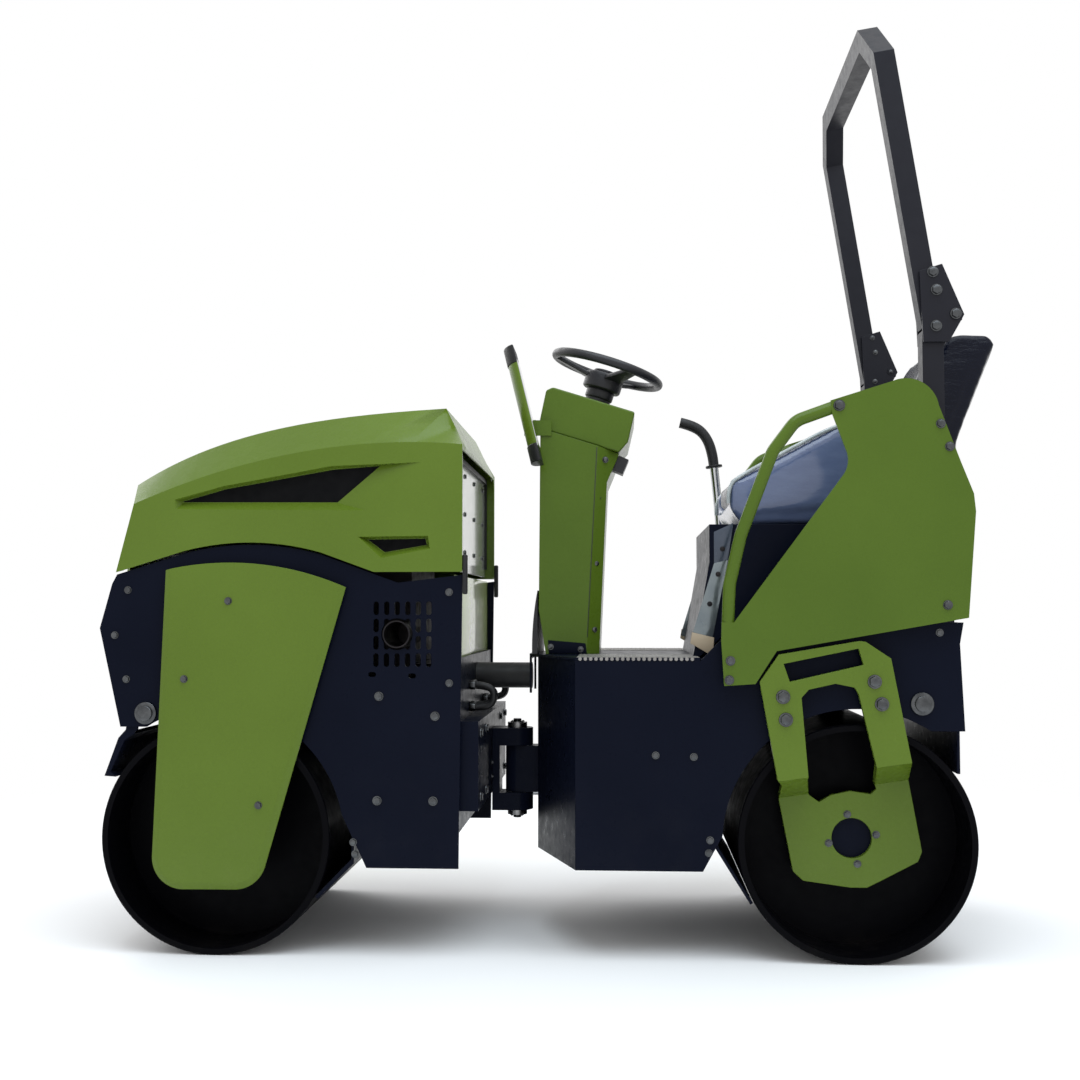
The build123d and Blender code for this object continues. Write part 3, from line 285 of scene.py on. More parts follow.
zinc_steel = finish("zinc_steel", (0.115, 0.12, 0.125), (0.065, 0.068, 0.072), (0.18, 0.34), metal=1.0,
                    cloud_scale=60.0, grain=0.2, grain_scale=1500.0)
bare_steel = finish("bare_steel", (0.36, 0.36, 0.37), (0.24, 0.235, 0.23), (0.22, 0.42), metal=1.0,
                    cloud_scale=30.0, grain=0.2)
chrome = finish("chrome", (0.62, 0.63, 0.65), (0.5, 0.51, 0.53), (0.08, 0.16), metal=1.0)
black_plastic = finish("black_plastic", (0.008, 0.008, 0.010), (0.014, 0.014, 0.017), (0.34, 0.5),
                       shine=0.4, grain=0.35, grain_scale=1800.0)
rubber = finish("rubber", (0.006, 0.006, 0.007), (0.012, 0.012, 0.013), (0.42, 0.6), shine=0.35,
                grain=0.4, grain_scale=1400.0)
vent_mesh = finish("vent_mesh", (0.0015, 0.0015, 0.002), (0.003, 0.003, 0.004), (0.6, 0.8), shine=0.1)
burnt_steel = finish("burnt_steel", (0.014, 0.013, 0.015), (0.03, 0.026, 0.026), (0.4, 0.6),
                     metal=0.8, cloud_scale=20.0)
tread_steel = finish("tread_steel", (0.20, 0.19, 0.18), (0.36, 0.345, 0.33), (0.35, 0.6), metal=0.6,
                     shine=0.4, cloud_scale=9.0, grain=0.3)
filmed_plate = finish("filmed_plate", (0.24, 0.27, 0.27), (0.15, 0.18, 0.20), (0.12, 0.3), metal=0.65,
                      shine=0.6, cloud_scale=12.0, grain=0.2, grain_scale=120.0)
blue_film = finish("blue_film", (0.045, 0.058, 0.085), (0.07, 0.085, 0.11), (0.14, 0.3), metal=0.3, shine=0.6,
                   cloud_scale=12.0)
# Pale green of the screen behind the engine: painted reflection of the bright surroundings on a glossy plate.
pale_green_painted_reflection = finish("pale_green_painted_reflection", (0.42, 0.50, 0.20), (0.34, 0.42, 0.15), (0.16, 0.28), shine=0.5, coat=0.4,
                    cloud_scale=6.0)
# Welded edge of the seat's wrapping: a real edge of the film, its pale colour partly a painted highlight
# along the glossy rim.
film_edge_painted_highlight = finish("film_edge_painted_highlight", (0.42, 0.46, 0.46), (0.26, 0.30, 0.31), (0.10, 0.25), shine=0.6, coat=0.6,
                   cloud_scale=25.0)
tape = finish("tape", (0.46, 0.37, 0.26), (0.40, 0.32, 0.22), (0.3, 0.45))
print("finishes", len(bpy.data.materials))

# %% [markdown]
# ## Softened steel
# Real sheet steel has rolled or ground edges that catch the light, and a solid from a drawing
# has razor edges. Each steel piece is copied from its CAD node, its loose triangles are
# merged, flat areas are joined again, and a small bevel rounds the sharp edges. The copy
# then stands for the node.

# %% A helper that rounds a node's edges
SHARP = math.radians(28)
FLAT = math.radians(0.6)
MERGE = 0.00002


def body_of_node(node):
    for body, members in frame["record"]["behaviour"]["bodies"].items():
        if node in members:
            return body
    return None


def finish_piece(name, bm, material, body, smooth=True):
    """Make an object of a bmesh, with one finish, riding on a body."""
    bmesh.ops.recalc_face_normals(bm, faces=bm.faces[:])
    mesh = bpy.data.meshes.new(name)
    bm.to_mesh(mesh)
    bm.free()
    piece = bpy.data.objects.new(name, mesh)
    scene.collection.objects.link(piece)
    mesh.materials.append(material)
    if smooth:
        mesh.shade_smooth()
        mesh.set_sharp_from_angle(angle=SHARP)
    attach(piece, body)
    return piece


def soften(node, material, width=1.2, segments=2):
    """Copy a node's mesh, join its flat faces, round its sharp edges and let it stand for the node."""
    bm = bmesh.new()
    bm.from_mesh(nodes[node].data)
    bmesh.ops.remove_doubles(bm, verts=bm.verts[:], dist=MERGE)
    bmesh.ops.dissolve_limit(bm, angle_limit=FLAT, verts=bm.verts[:], edges=bm.edges[:])
    weights = bm.edges.layers.float.new("bevel_weight_edge")
    for edge in bm.edges:
        if len(edge.link_faces) == 2 and edge.calc_face_angle(0) > SHARP:
            edge[weights] = 1.0
    mesh = bpy.data.meshes.new(node + "_steel")
    bm.to_mesh(mesh)
    bm.free()
    piece = bpy.data.objects.new(mesh.name, mesh)
    scene.collection.objects.link(piece)
    mesh.materials.clear()
    mesh.materials.append(material)
    mesh.shade_smooth()
    bevel = piece.modifiers.new("rounded edges", "BEVEL")
    bevel.limit_method = "WEIGHT"
    bevel.width = width * MM
    bevel.segments = segments
    bevel.use_clamp_overlap = True
    even = piece.modifiers.new("even shading", "WEIGHTED_NORMAL")
    even.keep_sharp = True
    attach(piece, body_of_node(node))
    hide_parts(node)
    return piece


# %% Paint the steel
GREEN_NODES = ("hood", "front_leg_left", "front_leg_right", "rear_yoke_left", "rear_yoke_right")
# These pieces take the darker green, which is painted shade.
PAINTED_SHADE_NODES = ("guard_left", "guard_right", "steering_column")
NAVY_NODES = ("front_frame", "rear_frame", "knuckle", "seat_base", "front_scrapers", "rear_scrapers",
              "floor_plate")
for node in GREEN_NODES:
    soften(node, green_paint)
for node in PAINTED_SHADE_NODES:
    soften(node, green_painted_shade)
soften("console", green_painted_shade, 5.0, 3)
# The rear panel's pale colour is painted reflection.
soften("hood_rear_panel", pale_panel_painted_reflection, 0.8)
for node in ("rops_posts", "rops_hoop"):
    soften(node, hoop_paint, 2.0, 3)
for node in NAVY_NODES:
    soften(node, navy_paint)
for node in ("front_drum", "rear_drum"):
    soften(node, drum_paint, 2.0, 3)

# %% Hubs and latches
# The hubs' skin is drawn in by a hair, so that their facets and those of the bores don't cut
# into each other when a drum turns.
soften("hood_latches", rubber, 5.0, 3)
AXLES = {"front_hubs": 0.817, "rear_hubs": -0.717}
AXLE_HEIGHT = 0.28
HUB_CORE = 0.02
HUB_SLACK = 0.0009
for node, axle_x in AXLES.items():
    hub = soften(node, navy_paint)
    for vert in hub.data.vertices:
        out = Vector((vert.co.x - axle_x, 0, vert.co.z - AXLE_HEIGHT))
        if out.length > HUB_CORE:
            vert.co -= out.normalized() * HUB_SLACK

# %% Finishes of the pieces that stay as they are
CARRIED = {
    "hinge_pin": bare_steel, "steering_barrel": navy_paint, "steering_rod": chrome,
    "front_tie_down": zinc_steel,
    "rear_tie_down": zinc_steel, "switch_box": black_plastic, "mirror_bracket": green_painted_shade,
    "hose_sleeve": rubber, "exhaust_pipe": burnt_steel, "engine_block": burnt_steel,
    "vent_screens": vent_mesh, "floor_shroud": black_plastic,
    "wheel_boot": rubber,
}
for node, material in CARRIED.items():
    if node in nodes:
        nodes[node].data.materials.clear()
        nodes[node].data.materials.append(material)

# %% [markdown]
# ## Bolts
# The plates are held by zinc-plated hexagon bolts with a pressed washer face. A bolt is a
# flat washer and a hexagon head with rounded edges, turned on to its surface. The bolts of one
# place are one piece, as they would be on a parts list.

# %% One bolt, and a helper that sets many
WASHER_THICK = 0.14
HEAD_HIGH = 0.45
HEAD_WIDE = 0.80


def add_bolt(bm, place, outward, radius):
    """A washer and a hexagon head on the surface at place, facing outward."""
    turn = Vector(outward).to_track_quat("Z", "Y").to_matrix().to_4x4()
    seat = Matrix.Translation(Vector(place)) @ turn
    step = Matrix.Translation((0, 0, WASHER_THICK * radius / 2))
    bmesh.ops.create_cone(bm, cap_ends=True, segments=20, radius1=radius, radius2=radius * 0.96,
                          depth=WASHER_THICK * radius, matrix=seat @ step)
    rise = Matrix.Translation((0, 0, (WASHER_THICK + HEAD_HIGH / 2) * radius))
    head = bmesh.ops.create_cone(bm, cap_ends=True, segments=6, radius1=radius * HEAD_WIDE,
                                 radius2=radius * HEAD_WIDE, depth=HEAD_HIGH * radius, matrix=seat @ rise)
    edges = list({edge for vert in head["verts"] for edge in vert.link_edges})
    bmesh.ops.bevel(bm, geom=edges, offset=radius * 0.12, offset_type="OFFSET", segments=2,
                    profile=0.5, affect="EDGES", material=-1)


def bolt_set(name, body, rows, material=zinc_steel, both_sides=True):
    """Bolts facing sideways: each row is the plate's face and its bolts as x, z and radius."""
    bm = bmesh.new()
    count = 0
    for face, bolts in rows:
        for x, z, radius in bolts:
            for side in (1, -1) if both_sides else (1,):
                add_bolt(bm, (x * MM, side * face * MM, z * MM), (0, side, 0), radius * MM)
                count += 1
    print(name, count)
    return finish_piece(name, bm, material, body)


# %% Bolts on every plate
SMALL, MEDIUM, LARGE, HUGE = 9.5, 11.5, 14.0, 17.0
FRAME_FACE, LEG_FACE, GUARD_FACE = 405.0, 430.0, 440.0
YOKE_FACE, YOKE_LOW_FACE, CHEEK_FACE, COLUMN_FACE = 437.0, 312.0, 429.0, 160.0
CHEEK_INNER = 361.0
BRACKET_THICK, PLATE_SLACK = 3, 2
front_plate = [(x, z, SMALL) for x, z in
               ((1038, 878), (1069, 768), (1039, 661), (249, 872), (248, 654), (478, 274), (473, 246))]
front_plate += [(x, z, MEDIUM) for x, z in ((418, 622), (282, 575), (421, 373), (286, 373))]
leg_cover = [(x, z, SMALL) for x, z in ((782, 851), (888, 663), (703, 363))]
bolt_set("front_bolts", "front_module", ((FRAME_FACE, front_plate), (LEG_FACE, leg_cover)))
rear_plate = [(x, z, SMALL) for x, z in ((-245, 485), (-335, 482), (-372, 287), (-369, 257), (-912, 776))]
guard_bolts = [(-679, 1311, LARGE)]
guard_bolts += [(x, z, MEDIUM) for x, z in
                ((-914, 1266), (-934, 1212), (-924, 841), (-420, 710), (-417, 665))]
yoke_bolts = [(x, z, HUGE) for x, z in ((-542, 626), (-548, 573), (-754, 662), (-770, 610))]
axle_bolts = [(x, z, SMALL) for x, z in ((-707, 337), (-775, 289), (-730, 219), (-662, 268))]
cheek_bolts = [(x, z, LARGE) for x, z in ((-903, 1629), (-911, 1586), (-909, 1500))]
column_bolts = [(x, z, 8.0) for x, z in ((17, 735), (-60, 729))]
bolt_set("rear_bolts", "rear_module", (
    (FRAME_FACE, rear_plate), (GUARD_FACE, guard_bolts), (YOKE_FACE, yoke_bolts),
    (YOKE_LOW_FACE, axle_bolts), (CHEEK_FACE, cheek_bolts), (COLUMN_FACE + BRACKET_THICK, column_bolts),
))
cheek_nuts = bmesh.new()
for side in (1, -1):
    for x, z in ((-903, 1629), (-911, 1586), (-909, 1500), (-955, 1528)):
        add_bolt(cheek_nuts, (x * MM, side * CHEEK_INNER * MM, z * MM), (0, -side, 0), 0.0075)
finish_piece("cheek_bolts", cheek_nuts, zinc_steel, "rear_module")
bolt_set("hoop_bolts", "rops_hoop", ((CHEEK_FACE + PLATE_SLACK, [(-955, 1528, LARGE)]),))

# %% [markdown]
# ## Lashing bar ends
# A round bar passes through the plates near each corner, and a thick washer is welded where
# it comes out. A short cylinder with rounded rims is all that is needed.

# %% Washers and caps of the lashing bars
BAR_PLACES = {"front_bar_washers": ("front_module", 989, 579), "rear_bar_washers": ("rear_module", -869, 609)}


def disc(bm, place, outward, radius, thick, bevel, segments=40):
    turn = Vector(outward).to_track_quat("Z", "Y").to_matrix().to_4x4()
    shift = Matrix.Translation((0, 0, thick / 2))
    made = bmesh.ops.create_cone(bm, cap_ends=True, segments=segments, radius1=radius, radius2=radius,
                                 depth=thick, matrix=Matrix.Translation(Vector(place)) @ turn @ shift)
    rims = [e for e in {e for v in made["verts"] for e in v.link_edges} if e.calc_face_angle(0) > 1]
    bmesh.ops.bevel(bm, geom=rims, offset=bevel, offset_type="OFFSET", segments=3, profile=0.5,
                    affect="EDGES", material=-1)


for name, (body, x, z) in BAR_PLACES.items():
    bm = bmesh.new()
    for side in (1, -1):
        disc(bm, (x * MM, side * 0.405, z * MM), (0, side, 0), 0.027, 0.006, 0.0015)
        disc(bm, (x * MM, side * 0.4125, z * MM), (0, side, 0), 0.0185, 0.008, 0.002)
    finish_piece(name, bm, zinc_steel, body)
print("bar ends", 4)

# %% [markdown]
# ## Steering wheel
# The rim is a moulded ring with a thick grip, held by three flattened spokes that rise from a
# deep hub. A ring is a small circle spun about the wheel's axis; the spokes are tapered
# boxes whose edges are rounded.

# %% Model the wheel
WHEEL_PLACE = Vector((-0.128, 0, 1.478))
WHEEL_TILT = math.atan2(67, 213)
RIM_RADIUS = 0.1435
RIM_THICK = 0.0122


def wheel_matrix():
    return Matrix.Translation(WHEEL_PLACE) @ Matrix.Rotation(-WHEEL_TILT, 4, "Y")


def steering_wheel():
    bm = bmesh.new()
    upright = Matrix.Translation((RIM_RADIUS, 0, 0)) @ Matrix.Rotation(math.radians(90), 4, "X")
    ring = bmesh.ops.create_circle(bm, segments=18, radius=RIM_THICK, matrix=upright)
    edges = list({e for v in ring["verts"] for e in v.link_edges})
    bmesh.ops.spin(bm, geom=ring["verts"] + edges, cent=(0, 0, 0), axis=(0, 0, 1), angle=math.tau,
                   steps=96, use_merge=True)
    for turn in range(3):
        spin = Matrix.Rotation(turn * math.tau / 3, 4, "Z")
        spoke = bmesh.ops.create_cube(bm, size=1.0, matrix=Matrix.Translation((0.085, 0, -0.012))
                                      @ Matrix.Diagonal((0.118, 0.030, 0.012, 1)))
        for vert in spoke["verts"]:
            inner = vert.co.x < 0.08
            vert.co.y *= 1.8 if inner else 1.0
            vert.co.z += -0.020 if inner else 0.008
        edges = list({e for v in spoke["verts"] for e in v.link_edges})
        beveled = bmesh.ops.bevel(bm, geom=edges, offset=0.003, offset_type="OFFSET", segments=3,
                                  profile=0.5, affect="EDGES", material=-1)
        verts = list({v for f in beveled["faces"] for v in f.verts})
        bmesh.ops.transform(bm, matrix=spin, verts=verts)
    disc(bm, (0, 0, -0.060), (0, 0, 1), 0.052, 0.046, 0.008)
    disc(bm, (0, 0, -0.084), (0, 0, 1), 0.038, 0.026, 0.005)
    disc(bm, (0, 0, -0.015), (0, 0, 1), 0.034, 0.010, 0.004)
    bmesh.ops.transform(bm, matrix=wheel_matrix(), verts=bm.verts[:])
    piece = finish_piece("wheel_grip", bm, black_plastic, "steering_wheel")
    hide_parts("steering_wheel")
    return piece


print("wheel", len(steering_wheel().data.vertices))

# %% [markdown]
# ## Mirror
# The mirror head is a tall green half-round housing with black end caps, and its glass faces
# the driver. The housing is a half-round form built here in place of the CAD form, and the caps
# are short slices of the same form, a little larger.

# %% Mirror housing, caps and glass
MIRROR_PLACE = Vector((0.081, 0.236, 1.345))
MIRROR_LEAN = math.radians(13.6)
MIRROR_HALF = 0.150
CAP_LONG = 0.044
CAP_LAP = 0.002
MIRROR_BACK = 0.012


def mirror_matrix():
    return Matrix.Translation(MIRROR_PLACE) @ Matrix.Rotation(MIRROR_LEAN, 4, "Y")


def half_round(bm, low, high, wide, deep):
    """A column with a flat driver's side and a rounded front, from low to high."""
    arc = [(deep * math.cos(t), wide * math.sin(t)) for t in
           [math.radians(a) for a in range(-90, 91, 10)]]
    verts = [bm.verts.new((-MIRROR_BACK + (MIRROR_BACK + deep) * max(0.0, x / deep), y, low)) for x, y in arc]
    face = bm.faces.new(verts)
    grown = bmesh.ops.extrude_face_region(bm, geom=[face])
    top = [v for v in grown["geom"] if isinstance(v, bmesh.types.BMVert)]
    bmesh.ops.translate(bm, vec=(0, 0, high - low), verts=top)
    rims = [e for e in {e for v in verts + top for e in v.link_edges}
            if len(e.link_faces) == 2 and e.calc_face_angle(0) > 0.7]
    bmesh.ops.bevel(bm, geom=rims, offset=0.003, offset_type="OFFSET", segments=3, profile=0.5,
                    affect="EDGES", material=-1)


def mirror():
    shell = bmesh.new()
    half_round(shell, -MIRROR_HALF + CAP_LONG, MIRROR_HALF - CAP_LONG, 0.063, 0.015)
    bmesh.ops.transform(shell, matrix=mirror_matrix(), verts=shell.verts[:])
    housing = finish_piece("mirror_housing", shell, green_paint, "rear_module")
    caps = bmesh.new()
    half_round(caps, -MIRROR_HALF, -MIRROR_HALF + CAP_LONG + CAP_LAP, 0.065, 0.017)
    half_round(caps, MIRROR_HALF - CAP_LONG - CAP_LAP, MIRROR_HALF, 0.065, 0.017)
    bmesh.ops.transform(caps, matrix=mirror_matrix(), verts=caps.verts[:])
    finish_piece("mirror_caps", caps, rubber, "rear_module")
    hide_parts("mirror_head")


mirror()
glass = bmesh.new()
bmesh.ops.create_cube(glass, size=1.0, matrix=mirror_matrix() @ Matrix.Translation((-0.0125, 0, 0))
                      @ Matrix.Diagonal((0.002, 0.112, 0.222, 1)))
finish_piece("mirror_glass", glass, chrome, "rear_module")
print("mirror done")

# %% [markdown]
# ## Drive lever
# A chromed shaft comes out beside the seat and carries a long curved rubber grip with a
# collar at its foot. Each is a tube along a smooth line, thicker where the hand holds it.

# %% A tube helper, and the lever
def tube(name, points, radius, material, body, steps=10, sides=6):
    """A closed tube of one open smooth spline through given points, made a mesh."""
    curve = bpy.data.curves.new(name, "CURVE")
    curve.dimensions = "3D"
    curve.bevel_depth = radius
    curve.bevel_resolution = sides
    curve.resolution_u = steps
    curve.use_fill_caps = True
    spline = curve.splines.new("NURBS")
    spline.points.add(len(points) - 1)
    for point, place in zip(spline.points, points):
        point.co = (*[c * MM for c in place[:3]], 1)
        point.radius = place[3] if len(place) > 3 else 1.0
    spline.order_u = 3
    spline.use_endpoint_u = True
    holder = bpy.data.objects.new(name + "_line", curve)
    scene.collection.objects.link(holder)
    bpy.context.view_layer.update()
    mesh = bpy.data.meshes.new_from_object(holder)
    bpy.data.objects.remove(holder)
    bm = bmesh.new()
    bm.from_mesh(mesh)
    bmesh.ops.remove_doubles(bm, verts=bm.verts[:], dist=0.00001)
    return finish_piece(name, bm, material, body)


LEVER_Y = -285
shaft = tube("lever_shaft", ((-448, LEVER_Y, 1040), (-447, LEVER_Y, 1112), (-431, LEVER_Y, 1250)), 0.0125,
             chrome, "rear_module")
grip = tube("lever_grip", ((-432, LEVER_Y, 1243), (-428, LEVER_Y, 1285, 1.05), (-408, LEVER_Y, 1335),
                           (-375, LEVER_Y, 1362, 1.1), (-335, LEVER_Y, 1372, 1.05)), 0.0145,
            rubber, "rear_module")
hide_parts("drive_lever")
collar = bmesh.new()
disc(collar, (-0.4325, LEVER_Y * MM, 1.240), (0.12, 0, 1), 0.024, 0.007, 0.002)
finish_piece("lever_collar", collar, rubber, "rear_module")
print("lever done")

# %% [markdown]
# ## Seat
# The seat is a moulded black bucket with high sides, still under its clear wrapping, and its
# back shows behind the hoop. The padded forms are grown from the CAD solids by a cloth
# simulation: the solid is remeshed, air pressure swells it, and a limit keeps every point
# close to where it started.

# %% Vinyl and wrapping finishes
# The wrapping is smooth on the seat's sides, whose pale blue is painted reflection of the sky,
# and dark and creased on its back. It changes along the machine, between these two places.
BACK_STARTS = (-0.78, -0.90)


def vinyl_finish(name, colour, tint, rough, wrinkle, coat, back=None):
    material = bpy.data.materials.new(name)
    tree = new_nodes(material)
    out = tree.nodes.new("ShaderNodeOutputMaterial")
    shader = tree.nodes.new("ShaderNodeBsdfPrincipled")
    coord = tree.nodes.new("ShaderNodeTexCoord").outputs["Object"]
    stretch = tree.nodes.new("ShaderNodeMapping")
    stretch.inputs["Scale"].default_value = (1.0, 1.0, 3.2)
    stretch.inputs["Rotation"].default_value = (0, 0.5, 0)
    tree.links.new(coord, stretch.inputs["Vector"])
    folds = noise(tree, stretch.outputs[0], 9.0, 6.0, 0.62)
    creases = noise(tree, stretch.outputs[0], 34.0, 3.0, 0.6)
    paint = blend_colours(tree, spread(tree, folds, 0.35, 0.65), colour, tint)
    if back:
        along = tree.nodes.new("ShaderNodeSeparateXYZ")
        tree.links.new(coord, along.inputs[0])
        paint = blend_colours(tree, spread(tree, along.outputs["X"], *BACK_STARTS), paint, back)
    tree.links.new(paint, shader.inputs["Base Color"])
    tree.links.new(spread(tree, creases, 0.3, 0.7, *rough), shader.inputs["Roughness"])
    shader.inputs["Specular IOR Level"].default_value = 0.45
    shader.inputs["Coat Weight"].default_value = coat
    shader.inputs["Coat Roughness"].default_value = 0.12
    first = tree.nodes.new("ShaderNodeBump")
    first.inputs["Strength"].default_value = wrinkle
    if back:
        place = along.outputs["X"]
        tree.links.new(spread(tree, place, *BACK_STARTS, coat, 0.12), shader.inputs["Coat Weight"])
        tree.links.new(spread(tree, place, *BACK_STARTS, 0.45, 0.10), shader.inputs["Specular IOR Level"])
        tree.links.new(spread(tree, place, *BACK_STARTS, wrinkle, 0.75), first.inputs["Strength"])
    first.inputs["Distance"].default_value = 0.012
    tree.links.new(folds, first.inputs["Height"])
    second = tree.nodes.new("ShaderNodeBump")
    second.inputs["Strength"].default_value = wrinkle
    second.inputs["Distance"].default_value = 0.003
    tree.links.new(creases, second.inputs["Height"])
    tree.links.new(first.outputs["Normal"], second.inputs["Normal"])
    tree.links.new(second.outputs["Normal"], shader.inputs["Normal"])
    tree.links.new(shader.outputs[0], out.inputs["Surface"])
    return material


# The pale blue of the seat's sides is painted reflection of the sky; the dark back is the seat's own colour.
wrapped_vinyl_painted_reflection = vinyl_finish("wrapped_vinyl_painted_reflection", (0.085, 0.115, 0.215), (0.11, 0.145, 0.25),
                             (0.08, 0.16), 0.09, 0.5, back=(0.0022, 0.0034, 0.0105))
seat_vinyl = vinyl_finish("seat_vinyl", (0.006, 0.008, 0.015), (0.010, 0.013, 0.024),
                          (0.2, 0.38), 0.14, 0.15)


# %% A helper that swells a padded solid
AIR_FRAMES = 14


def swell(name, node, material, body, inset, cap, pressure=4.0, voxel=0.008):
    """A padded piece grown from a CAD solid by cloth pressure, no point moving past the cap."""
    mesh = nodes[node].data.copy()
    mesh.name = name
    piece = bpy.data.objects.new(name, mesh)
    scene.collection.objects.link(piece)
    bm = bmesh.new()
    bm.from_mesh(mesh)
    bmesh.ops.remove_doubles(bm, verts=bm.verts[:], dist=MERGE)
    low, high = (Vector(c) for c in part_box(node))
    middle = (low + high) / 2
    size = high - low
    shrink = Matrix.Diagonal([max(0.2, 1 - 2 * inset / s) for s in size]).to_4x4()
    bmesh.ops.transform(bm, matrix=Matrix.Translation(middle) @ shrink @ Matrix.Translation(-middle),
                        verts=bm.verts[:])
    bm.to_mesh(mesh)
    bm.free()
    remesh = piece.modifiers.new("even cells", "REMESH")
    remesh.mode = "VOXEL"
    remesh.voxel_size = voxel
    apply_modifiers(piece)
    start = [v.co.copy() for v in piece.data.vertices]
    cloth = piece.modifiers.new("air", "CLOTH")
    cloth.settings.use_pressure = True
    cloth.settings.uniform_pressure_force = pressure
    cloth.settings.effector_weights.gravity = 0
    cloth.settings.quality = 6
    for step in range(1, AIR_FRAMES + 1):
        scene.frame_set(step)
    apply_modifiers(piece)
    scene.frame_set(1)
    for vert, home in zip(piece.data.vertices, start):
        move = vert.co - home
        if move.length > cap:
            vert.co = home + move * (cap / move.length)
    smooth = piece.modifiers.new("smooth", "SUBSURF")
    smooth.levels = 1
    smooth.render_levels = 1
    apply_modifiers(piece)
    piece.data.materials.clear()
    piece.data.materials.append(material)
    piece.data.shade_smooth()
    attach(piece, body)
    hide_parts(node)
    print(name, len(piece.data.polygons))
    return piece


def apply_modifiers(piece):
    """Keep a piece's modified mesh, and drop the modifiers."""
    graph = bpy.context.evaluated_depsgraph_get()
    made = bpy.data.meshes.new_from_object(piece.evaluated_get(graph))
    piece.modifiers.clear()
    piece.data = made


# %% Swell the pads and the bucket
swell("cushion_pad", "seat_cushion", seat_vinyl, "rear_module", 0.012, 0.022)
swell("back_pad", "seat_backrest", seat_vinyl, "rear_module", 0.012, 0.022)
swell("seat_bucket", "seat_shell", wrapped_vinyl_painted_reflection, "rear_module", 0.003, 0.007, pressure=3.0, voxel=0.010)

# %% [markdown]
# ## Small trim
# The last pieces are the ones that a drawing leaves out: the folded edge of the seat's front
# board under its film, the foot bracket of the column, and the floor's saw-toothed edge and
# raised tread.

# %% The seat board's side flange
def plate(name, outline, y_from, y_to, material, body, bevel=0.0008, mirrored=True):
    """A flat piece in the side view, from y_from to y_to, and its mirror image."""
    bm = bmesh.new()
    for side in (1, -1) if mirrored else (1,):
        verts = [bm.verts.new((x * MM, side * y_from * MM, z * MM)) for x, z in outline]
        face = bm.faces.new(verts)
        grown = bmesh.ops.extrude_face_region(bm, geom=[face])
        moved = [v for v in grown["geom"] if isinstance(v, bmesh.types.BMVert)]
        bmesh.ops.translate(bm, vec=(0, side * (y_to - y_from) * MM, 0), verts=moved)
    rims = [e for e in bm.edges if len(e.link_faces) == 2 and e.calc_face_angle(0) > SHARP]
    bmesh.ops.bevel(bm, geom=rims, offset=bevel, offset_type="OFFSET", segments=2, profile=0.5,
                    affect="EDGES", material=-1)
    return finish_piece(name, bm, material, body)


plate("board_flange", ((-334, 757), (-392, 944), (-426, 952), (-384, 742)), 300.2, 303, filmed_plate,
      "rear_module")
plate("board_ear", ((-392, 944), (-392, 1021), (-440, 1043), (-426, 952)), 300.2, 302.6, blue_film,
      "rear_module")
bolt_set("flange_bolts", "rear_module",
         ((303, ((-402, 917, 6.5), (-381, 844, 6.5))), (302.6, [(-413, 979, 6.5)])), burnt_steel)
plate("board_tape", ((-333, 748), (-337, 775), (-391, 762), (-388, 716)), 303, 304, tape, "rear_module")
plate("column_foot", ((22, 717), (24, 752), (-72, 744), (-76, 717)), 160.2, 163, navy_paint, "rear_module")
plate("column_seam", ((-101.5, 1250), (-103.5, 1250), (-78, 760), (-76, 760)), 160, 160.6, black_plastic,
      "rear_module", bevel=0.0001)

# %% The floor's saw-toothed edge and tread
TOOTH_PITCH = 12.7
TOOTH_FIRST, TOOTH_ROW = -66, 292
TREAD_ROWS, TREAD_COLUMNS = 26, 9
TREAD_PITCH, TREAD_STEP = 10.5, 25.0


def floor_teeth():
    bm = bmesh.new()
    count = int(TOOTH_ROW / TOOTH_PITCH)
    for side in (1, -1):
        for index in range(count):
            x = (TOOTH_FIRST - index * TOOTH_PITCH) * MM
            place = Matrix.Translation((x, side * 0.4058, 0.7125))
            sideways = Matrix.Rotation(-side * math.pi / 2, 4, "X")
            bmesh.ops.create_cone(bm, cap_ends=True, segments=16, radius1=0.0046, radius2=0.0040,
                                  depth=0.0022, matrix=place @ sideways)
    print("floor teeth", 2 * count)
    return finish_piece("floor_teeth", bm, tread_steel, "rear_module")


def floor_tread():
    bm = bmesh.new()
    for row in range(TREAD_ROWS):
        for column in range(TREAD_COLUMNS):
            x = (-70 - row * TREAD_PITCH) * MM
            for side in (1, -1):
                y = side * (178 + column * TREAD_STEP + (TREAD_STEP / 2 if row % 2 else 0)) * MM
                lean = Matrix.Rotation(math.radians(45 if (row + column) % 2 else -45), 4, "Z")
                rib = Matrix.Diagonal((0.011, 0.003, 0.0015, 1))
                bmesh.ops.create_cube(bm, size=1.0, matrix=Matrix.Translation((x, y, 0.7163)) @ lean @ rib)
    return finish_piece("floor_tread", bm, tread_steel, "rear_module")


floor_teeth()
floor_tread()
plate("floor_skin", ((-58, 716), (-350, 716), (-350, 716.8), (-58, 716.8)), 164, 403, tread_steel,
      "rear_module", bevel=0.0002)

# %% Column bolts on the bevelled rear corner
bevel_bolts = bmesh.new()
for side in (1, -1):
    for x, z in ((-124, 1218), (-106, 1119), (-100, 949), (-94, 779)):
        add_bolt(bevel_bolts, (x * MM, side * 0.1475, z * MM), (-0.45, side, 0), 0.0085)
finish_piece("column_bolts", bevel_bolts, zinc_steel, "rear_module")

# %% [markdown]
# ## Joint hardware
# The hinge is crowded: a big bolt closes each end of its pin among four small ones, bolts ring
# the bearing housing and hold its plate, and hydraulic hoses come out of the front wall in a
# loose bend. The hoses are fixed at both ends on the front body, so that they keep their shape
# when the machine steers.

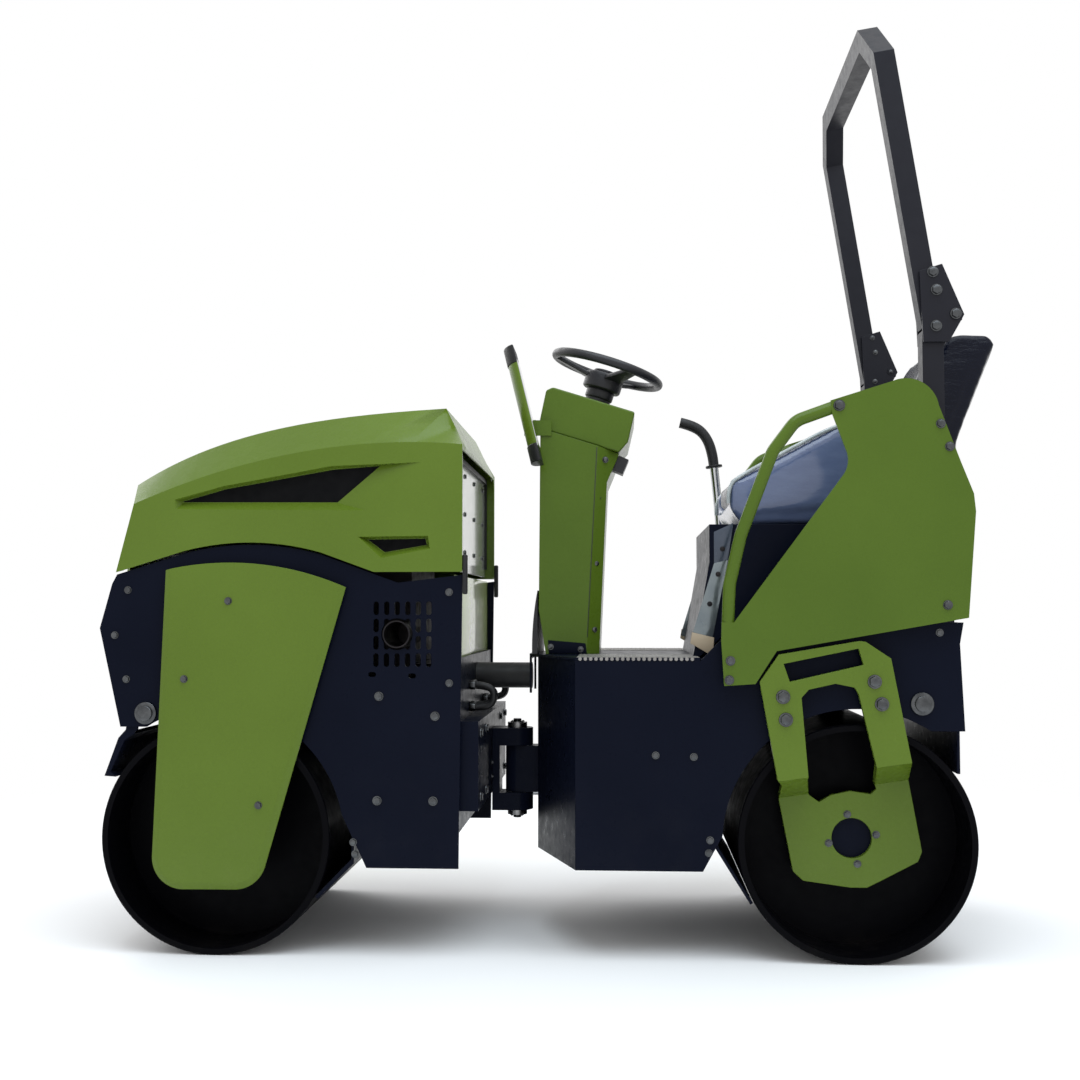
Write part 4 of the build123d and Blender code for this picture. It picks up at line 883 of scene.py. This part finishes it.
# %% Bolts of the hinge
HINGE_X = 0.115
PIN_TOP, PIN_BOTTOM = 0.522, 0.294
BOLT_STAND = 0.0085
BEARING_X, BEARING_Z, BEARING_RING = 0.1795, 0.408, 0.047
hinge = bmesh.new()
for z, up in ((PIN_TOP, 1), (PIN_BOTTOM, -1)):
    add_bolt(hinge, (HINGE_X, 0, z + up * BOLT_STAND), (0, 0, up), 0.015)
    for turn in range(4):
        angle = math.tau * (turn + 0.5) / 4
        add_bolt(hinge, (HINGE_X + 0.019 * math.cos(angle), 0.019 * math.sin(angle), z + up * BOLT_STAND),
                 (0, 0, up), 0.005)
finish_piece("hinge_bolts", hinge, zinc_steel, "rear_module")
housing = bmesh.new()
for turn in range(8):
    angle = math.tau * (turn + 0.5) / 8
    ring_y, ring_z = BEARING_RING * math.cos(angle), BEARING_RING * math.sin(angle)
    add_bolt(housing, (BEARING_X, ring_y, BEARING_Z + ring_z), (-1, 0, 0), 0.0065)
for y in (-0.33, -0.2, 0.2, 0.33):
    for z in (0.375, 0.53):
        add_bolt(housing, (BEARING_X, y, z), (-1, 0, 0), 0.012)
finish_piece("housing_bolts", housing, zinc_steel, "front_module")

# %% Hoses beside the hinge
HOSE_PLACES = ((150, 585, 635), (182, 580, 640), (-150, 585, 635), (-185, 582, 642))
fittings = bmesh.new()
for index, (y, low, high) in enumerate(HOSE_PLACES):
    tube(f"joint_hose_{index}", ((226, y, high), (205, y, high), (168, y, high - 8),
                                 (160, y, (low + high) / 2), (168, y, low + 6),
                                 (205, y, low), (226, y, low)), 0.0085, rubber, "front_module")
    for z in (0.583, 0.638):
        disc(fittings, (0.2245, y * MM, z), (-1, 0, 0), 0.0125, 0.016, 0.002, segments=6)
finish_piece("hose_fittings", fittings, zinc_steel, "front_module")
print("hoses", len(HOSE_PLACES))

# %% [markdown]
# ## Wrapping edges, seal and rear screen
# The clear wrapping of the seat is gathered along the top of its sides and shows there as a welded
# edge, painted pale: a painted highlight along its glossy rim. A black rubber seal runs round the
# engine's rear panel, and a screen whose pale green is painted reflection of the bright
# surroundings closes the frame below it.

# %% Film edges
# Each edge is a pale tube, partly a painted highlight along the rim of the seat's side.
for side, name in ((1, "film_edge_left"), (-1, "film_edge_right")):
    tube(name, ((-434, side * 224, 1098), (-433, side * 227, 1142), (-470, side * 227, 1170),
                (-600, side * 227, 1239), (-705, side * 226, 1294), (-800, side * 224, 1319)),
         0.0050, film_edge_painted_highlight, "rear_module")
print("film edges", 2)

# %% Rear screen, panel seal and panel bolts
SCREEN_BACK, SCREEN_FRONT, SCREEN_FOOT, SCREEN_TOP, SCREEN_HALF = 236.5, 239, 700, 914, 392
SEAL_X = 0.2425
PANEL_BOLT_X = 0.2458
screen = ((SCREEN_BACK, SCREEN_FOOT), (SCREEN_FRONT, SCREEN_FOOT), (SCREEN_FRONT, SCREEN_TOP),
          (SCREEN_BACK, SCREEN_TOP))
# The screen's pale green is painted reflection.
plate("rear_screen", screen, -SCREEN_HALF, SCREEN_HALF, pale_green_painted_reflection, "front_module", bevel=0.0004,
      mirrored=False)
seal = bmesh.new()
for y, z, wide, high in ((0, 1.2105, 0.79, 0.012), (0.398, 1.08, 0.010, 0.26), (-0.398, 1.08, 0.010, 0.26)):
    bmesh.ops.create_cube(seal, size=1.0, matrix=Matrix.Translation((SEAL_X, y, z))
                          @ Matrix.Diagonal((0.007, wide, high, 1)))
finish_piece("panel_seal", seal, rubber, "hood")
panel_bolts = bmesh.new()
for y in (-0.33, -0.11, 0.11, 0.33):
    for z in (0.98, 1.08, 1.18):
        add_bolt(panel_bolts, (PANEL_BOLT_X, y, z), (-1, 0, 0), 0.007)
finish_piece("panel_bolts", panel_bolts, zinc_steel, "hood")
print("rear screen, seal and panel bolts")
